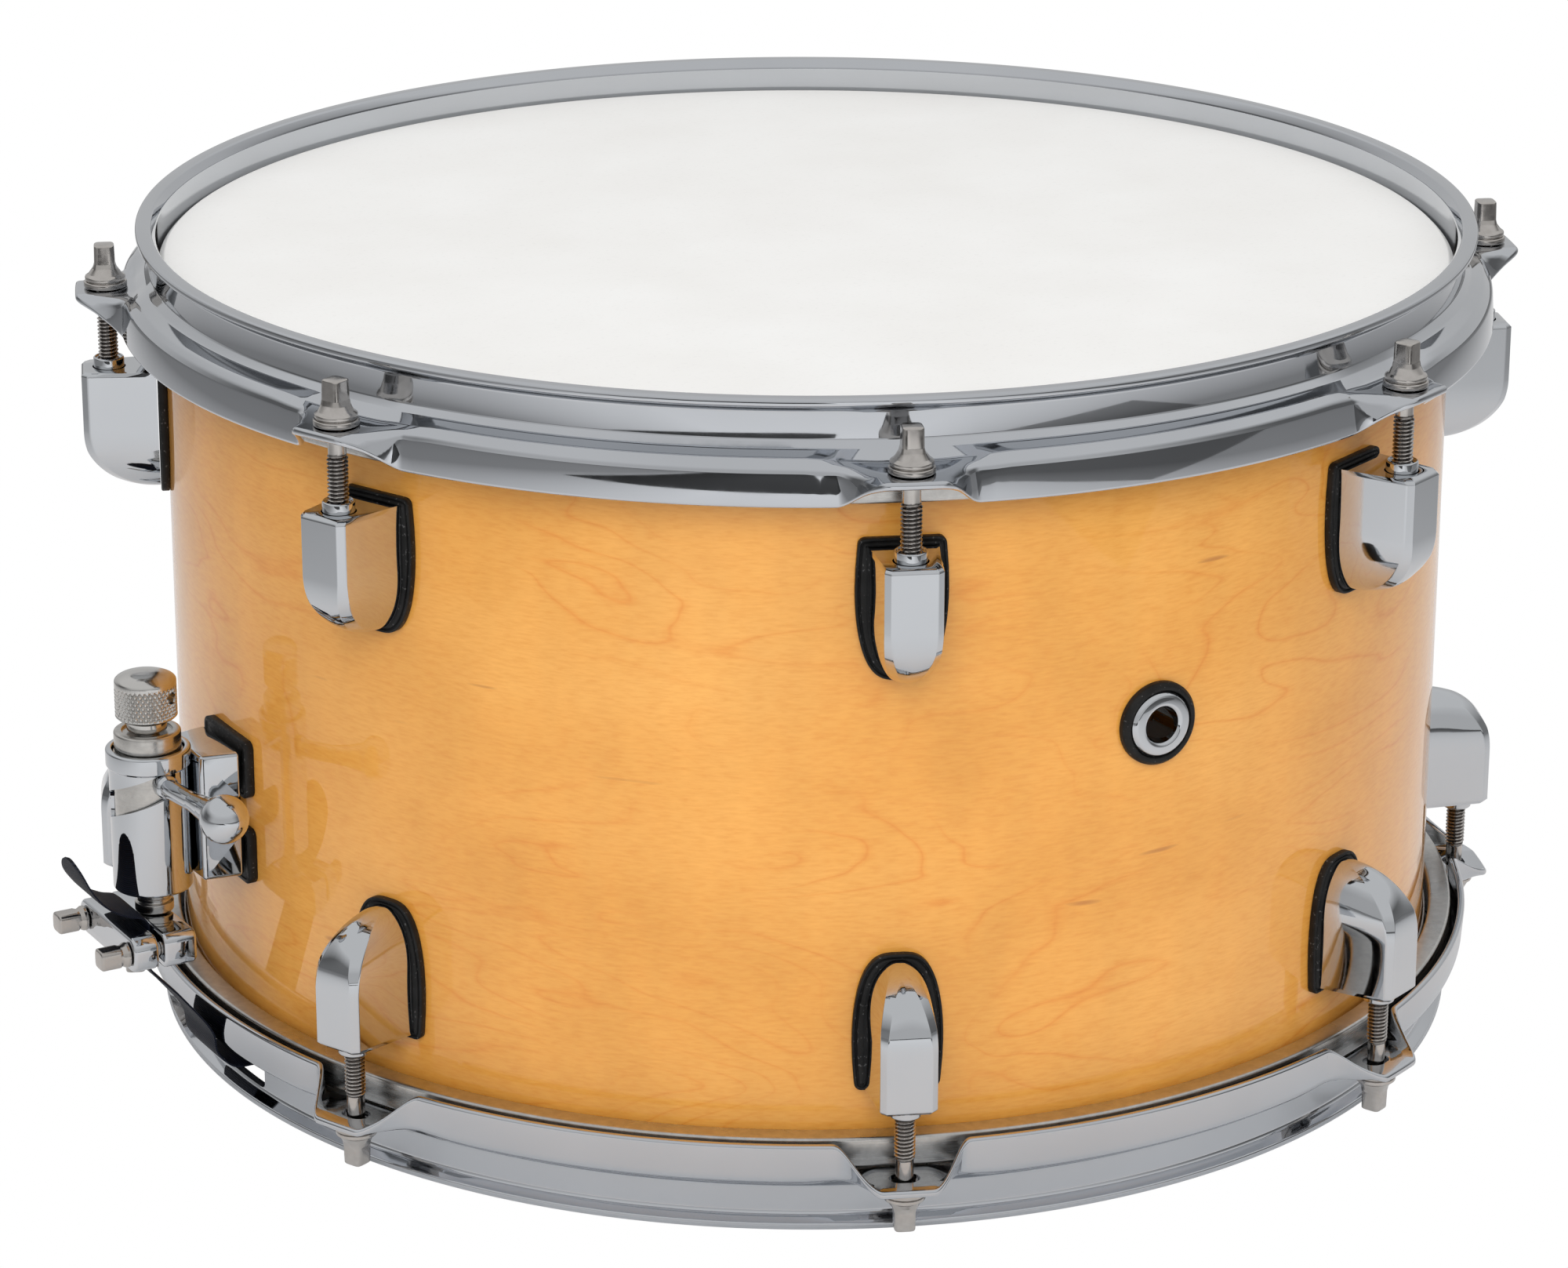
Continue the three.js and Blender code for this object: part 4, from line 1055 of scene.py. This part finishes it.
# The camera's angles are in degrees. It aims at a point given as millimetres across its view and up.
CAMERA = {"azimuth": -29.93, "elevation": 19.44, "distance": 1447.6, "lens": 116.87, "roll": 0.104}
AIM_ASIDE, AIM_UP = -5.95, -13.88
AZIMUTH = CAMERA["azimuth"] * DEG
ACROSS_VIEW = Vector((math.cos(AZIMUTH), math.sin(AZIMUTH), 0))
TOWARDS_CAMERA = Vector((math.sin(AZIMUTH), -math.cos(AZIMUTH), 0))


def camera():
    elevation = CAMERA["elevation"] * DEG
    up = Vector((0, 0, 1))
    target = (ACROSS_VIEW * AIM_ASIDE + up * (AIM_UP + MID_Z)) * MM
    back = TOWARDS_CAMERA * math.cos(elevation) + up * math.sin(elevation)
    data = bpy.data.cameras.new("camera")
    data.lens = CAMERA["lens"]
    data.sensor_width = 36
    data.clip_start, data.clip_end = 0.05, 50
    made = added("camera", data)
    made.location = target + back * CAMERA["distance"] * MM
    roll = Matrix.Rotation(CAMERA["roll"] * DEG, 4, "Z")
    turn = (-back).to_track_quat("-Z", "Y").to_matrix().to_4x4() @ roll
    made.rotation_euler = turn.to_euler()
    bpy.context.scene.camera = made


FLOOR_Z = box_mm("snare_side_hoop")[0][2] * MM - 0.0003
FLOOR_HALF = 9
PAPER = (0.66, 0.66, 0.665)
PAPER_GLOW = 0.14
# Left, right and near edge in metres from the drum's axis, and how dark: patches of painted shade on the
# floor, for chrome to reflect.
PAINTED_DARK_PATCHES = [(-0.75, 0.08, 1.03, 0.93), (0.6, 2.6, 0.5, 0.6)]
ROOM = {"front": 0.58, "sides": 0.14, "top": 0.72}
WHITE = (1, 1, 1, 1)


def paper(m):
    """How pale the floor is: painted shade dims it to the sides and in patches further off, for chrome to
    reflect.
    """
    at = m.where()
    aside, ahead = m.dot(at, ACROSS_VIEW), m.dot(at, TOWARDS_CAMERA)
    pale = m.node("MapRange", Value=m.math("ABSOLUTE", aside), From_Min=0.25, From_Max=0.9, To_Min=1.0,
                  To_Max=0.34)
    for left, right, near, dark in PAINTED_DARK_PATCHES:
        wide = m.times(m.math("GREATER_THAN", aside, left), m.math("LESS_THAN", aside, right))
        patch = m.times(wide, m.math("GREATER_THAN", ahead, near))
        pale = m.times(pale, m.math("SUBTRACT", 1.0, m.times(patch, dark)))
    return pale


def floor():
    """A pale floor with painted shade and a faint glow of painted light. Its underside is clear, so that the
    drum can be looked at from below.
    """
    mesh = bpy.data.meshes.new("floor")
    h = FLOOR_HALF
    mesh.from_pydata([(-h, -h, 0), (h, -h, 0), (h, h, 0), (-h, h, 0)], [], [(0, 1, 2, 3)])
    made = added("floor", mesh)
    made.location = (0, 0, FLOOR_Z)
    m = Material("floor")
    pale = paper(m)
    diffuse = m.node("BsdfDiffuse", Color=m.mix(1.0, PAPER, pale, "MULTIPLY"))
    # Painted light: the floor glows, most where it is palest.
    glow = m.node("Emission", Color=WHITE, Strength=m.times(pale, PAPER_GLOW))
    lit = m.node("AddShader", numbered=[diffuse, glow])
    from_below = m.node("NewGeometry", out=6)
    both = m.node("MixShader", numbered=[from_below, lit, m.node("BsdfTransparent")])
    m.set(m.tree.nodes["Material Output"], {"Surface": both})
    mesh.materials.append(m.made)
    made.visible_camera = False


def area_light(name, place, aim, size, power):
    """A square soft light. Chrome and lacquer reflect the room in its place."""
    data = bpy.data.lights.new(name, "AREA")
    data.shape = "SQUARE"
    data.size = size
    data.energy = power
    made = added(name, data)
    made.location = place
    made.rotation_euler = (Vector(aim) - Vector(place)).to_track_quat("-Z", "Y").to_euler()
    made.visible_camera = False
    made.visible_glossy = False


def backdrop(tree):
    """White to the camera. To everything that it lights: pale walls before and behind, and dim sides."""
    n = Nodes(tree)
    way = n.node("TexCoord")
    ahead = n.math("ABSOLUTE", n.dot(way, TOWARDS_CAMERA))
    wall = n.node("MapRange", settings={"interpolation_type": "SMOOTHSTEP"}, Value=ahead, From_Min=0.1,
                  From_Max=0.75, To_Min=ROOM["sides"], To_Max=ROOM["front"])
    ceiling = n.node("MapRange", Value=n.node("SeparateXYZ", out=2, Vector=way), From_Min=0.3, From_Max=0.6)
    seen_by_camera = n.node("LightPath")
    strength = n.fade(seen_by_camera, n.fade(ceiling, wall, ROOM["top"]), 1.0)
    n.set(tree.nodes["Background"], {"Color": WHITE, "Strength": strength})


def studio():
    scene = bpy.context.scene
    scene.view_settings.view_transform = "Standard"
    scene.view_settings.look = "None"
    world = bpy.data.worlds.new("studio")
    scene.world = world
    world.use_nodes = True
    backdrop(world.node_tree)
    floor()
    area_light("key", (-1.4, -2.1, 1.5), (0, 0, -0.1), 1.5, 33)
    area_light("fill", (0.6, -2.4, 0.9), (0, 0, -0.1), 1.2, 5)
    area_light("top", (0.1, 0.2, 1.9), (0, 0, 0), 1.6, 10)


# ---- assembly ----

shell()
heads()
hoops()
lugs()
tension_rods()
vent()
strainer_housing()
strainer_insides()
knob()
strainer_clamp()
butt_end()
straps()
snares()
camera()
studio()
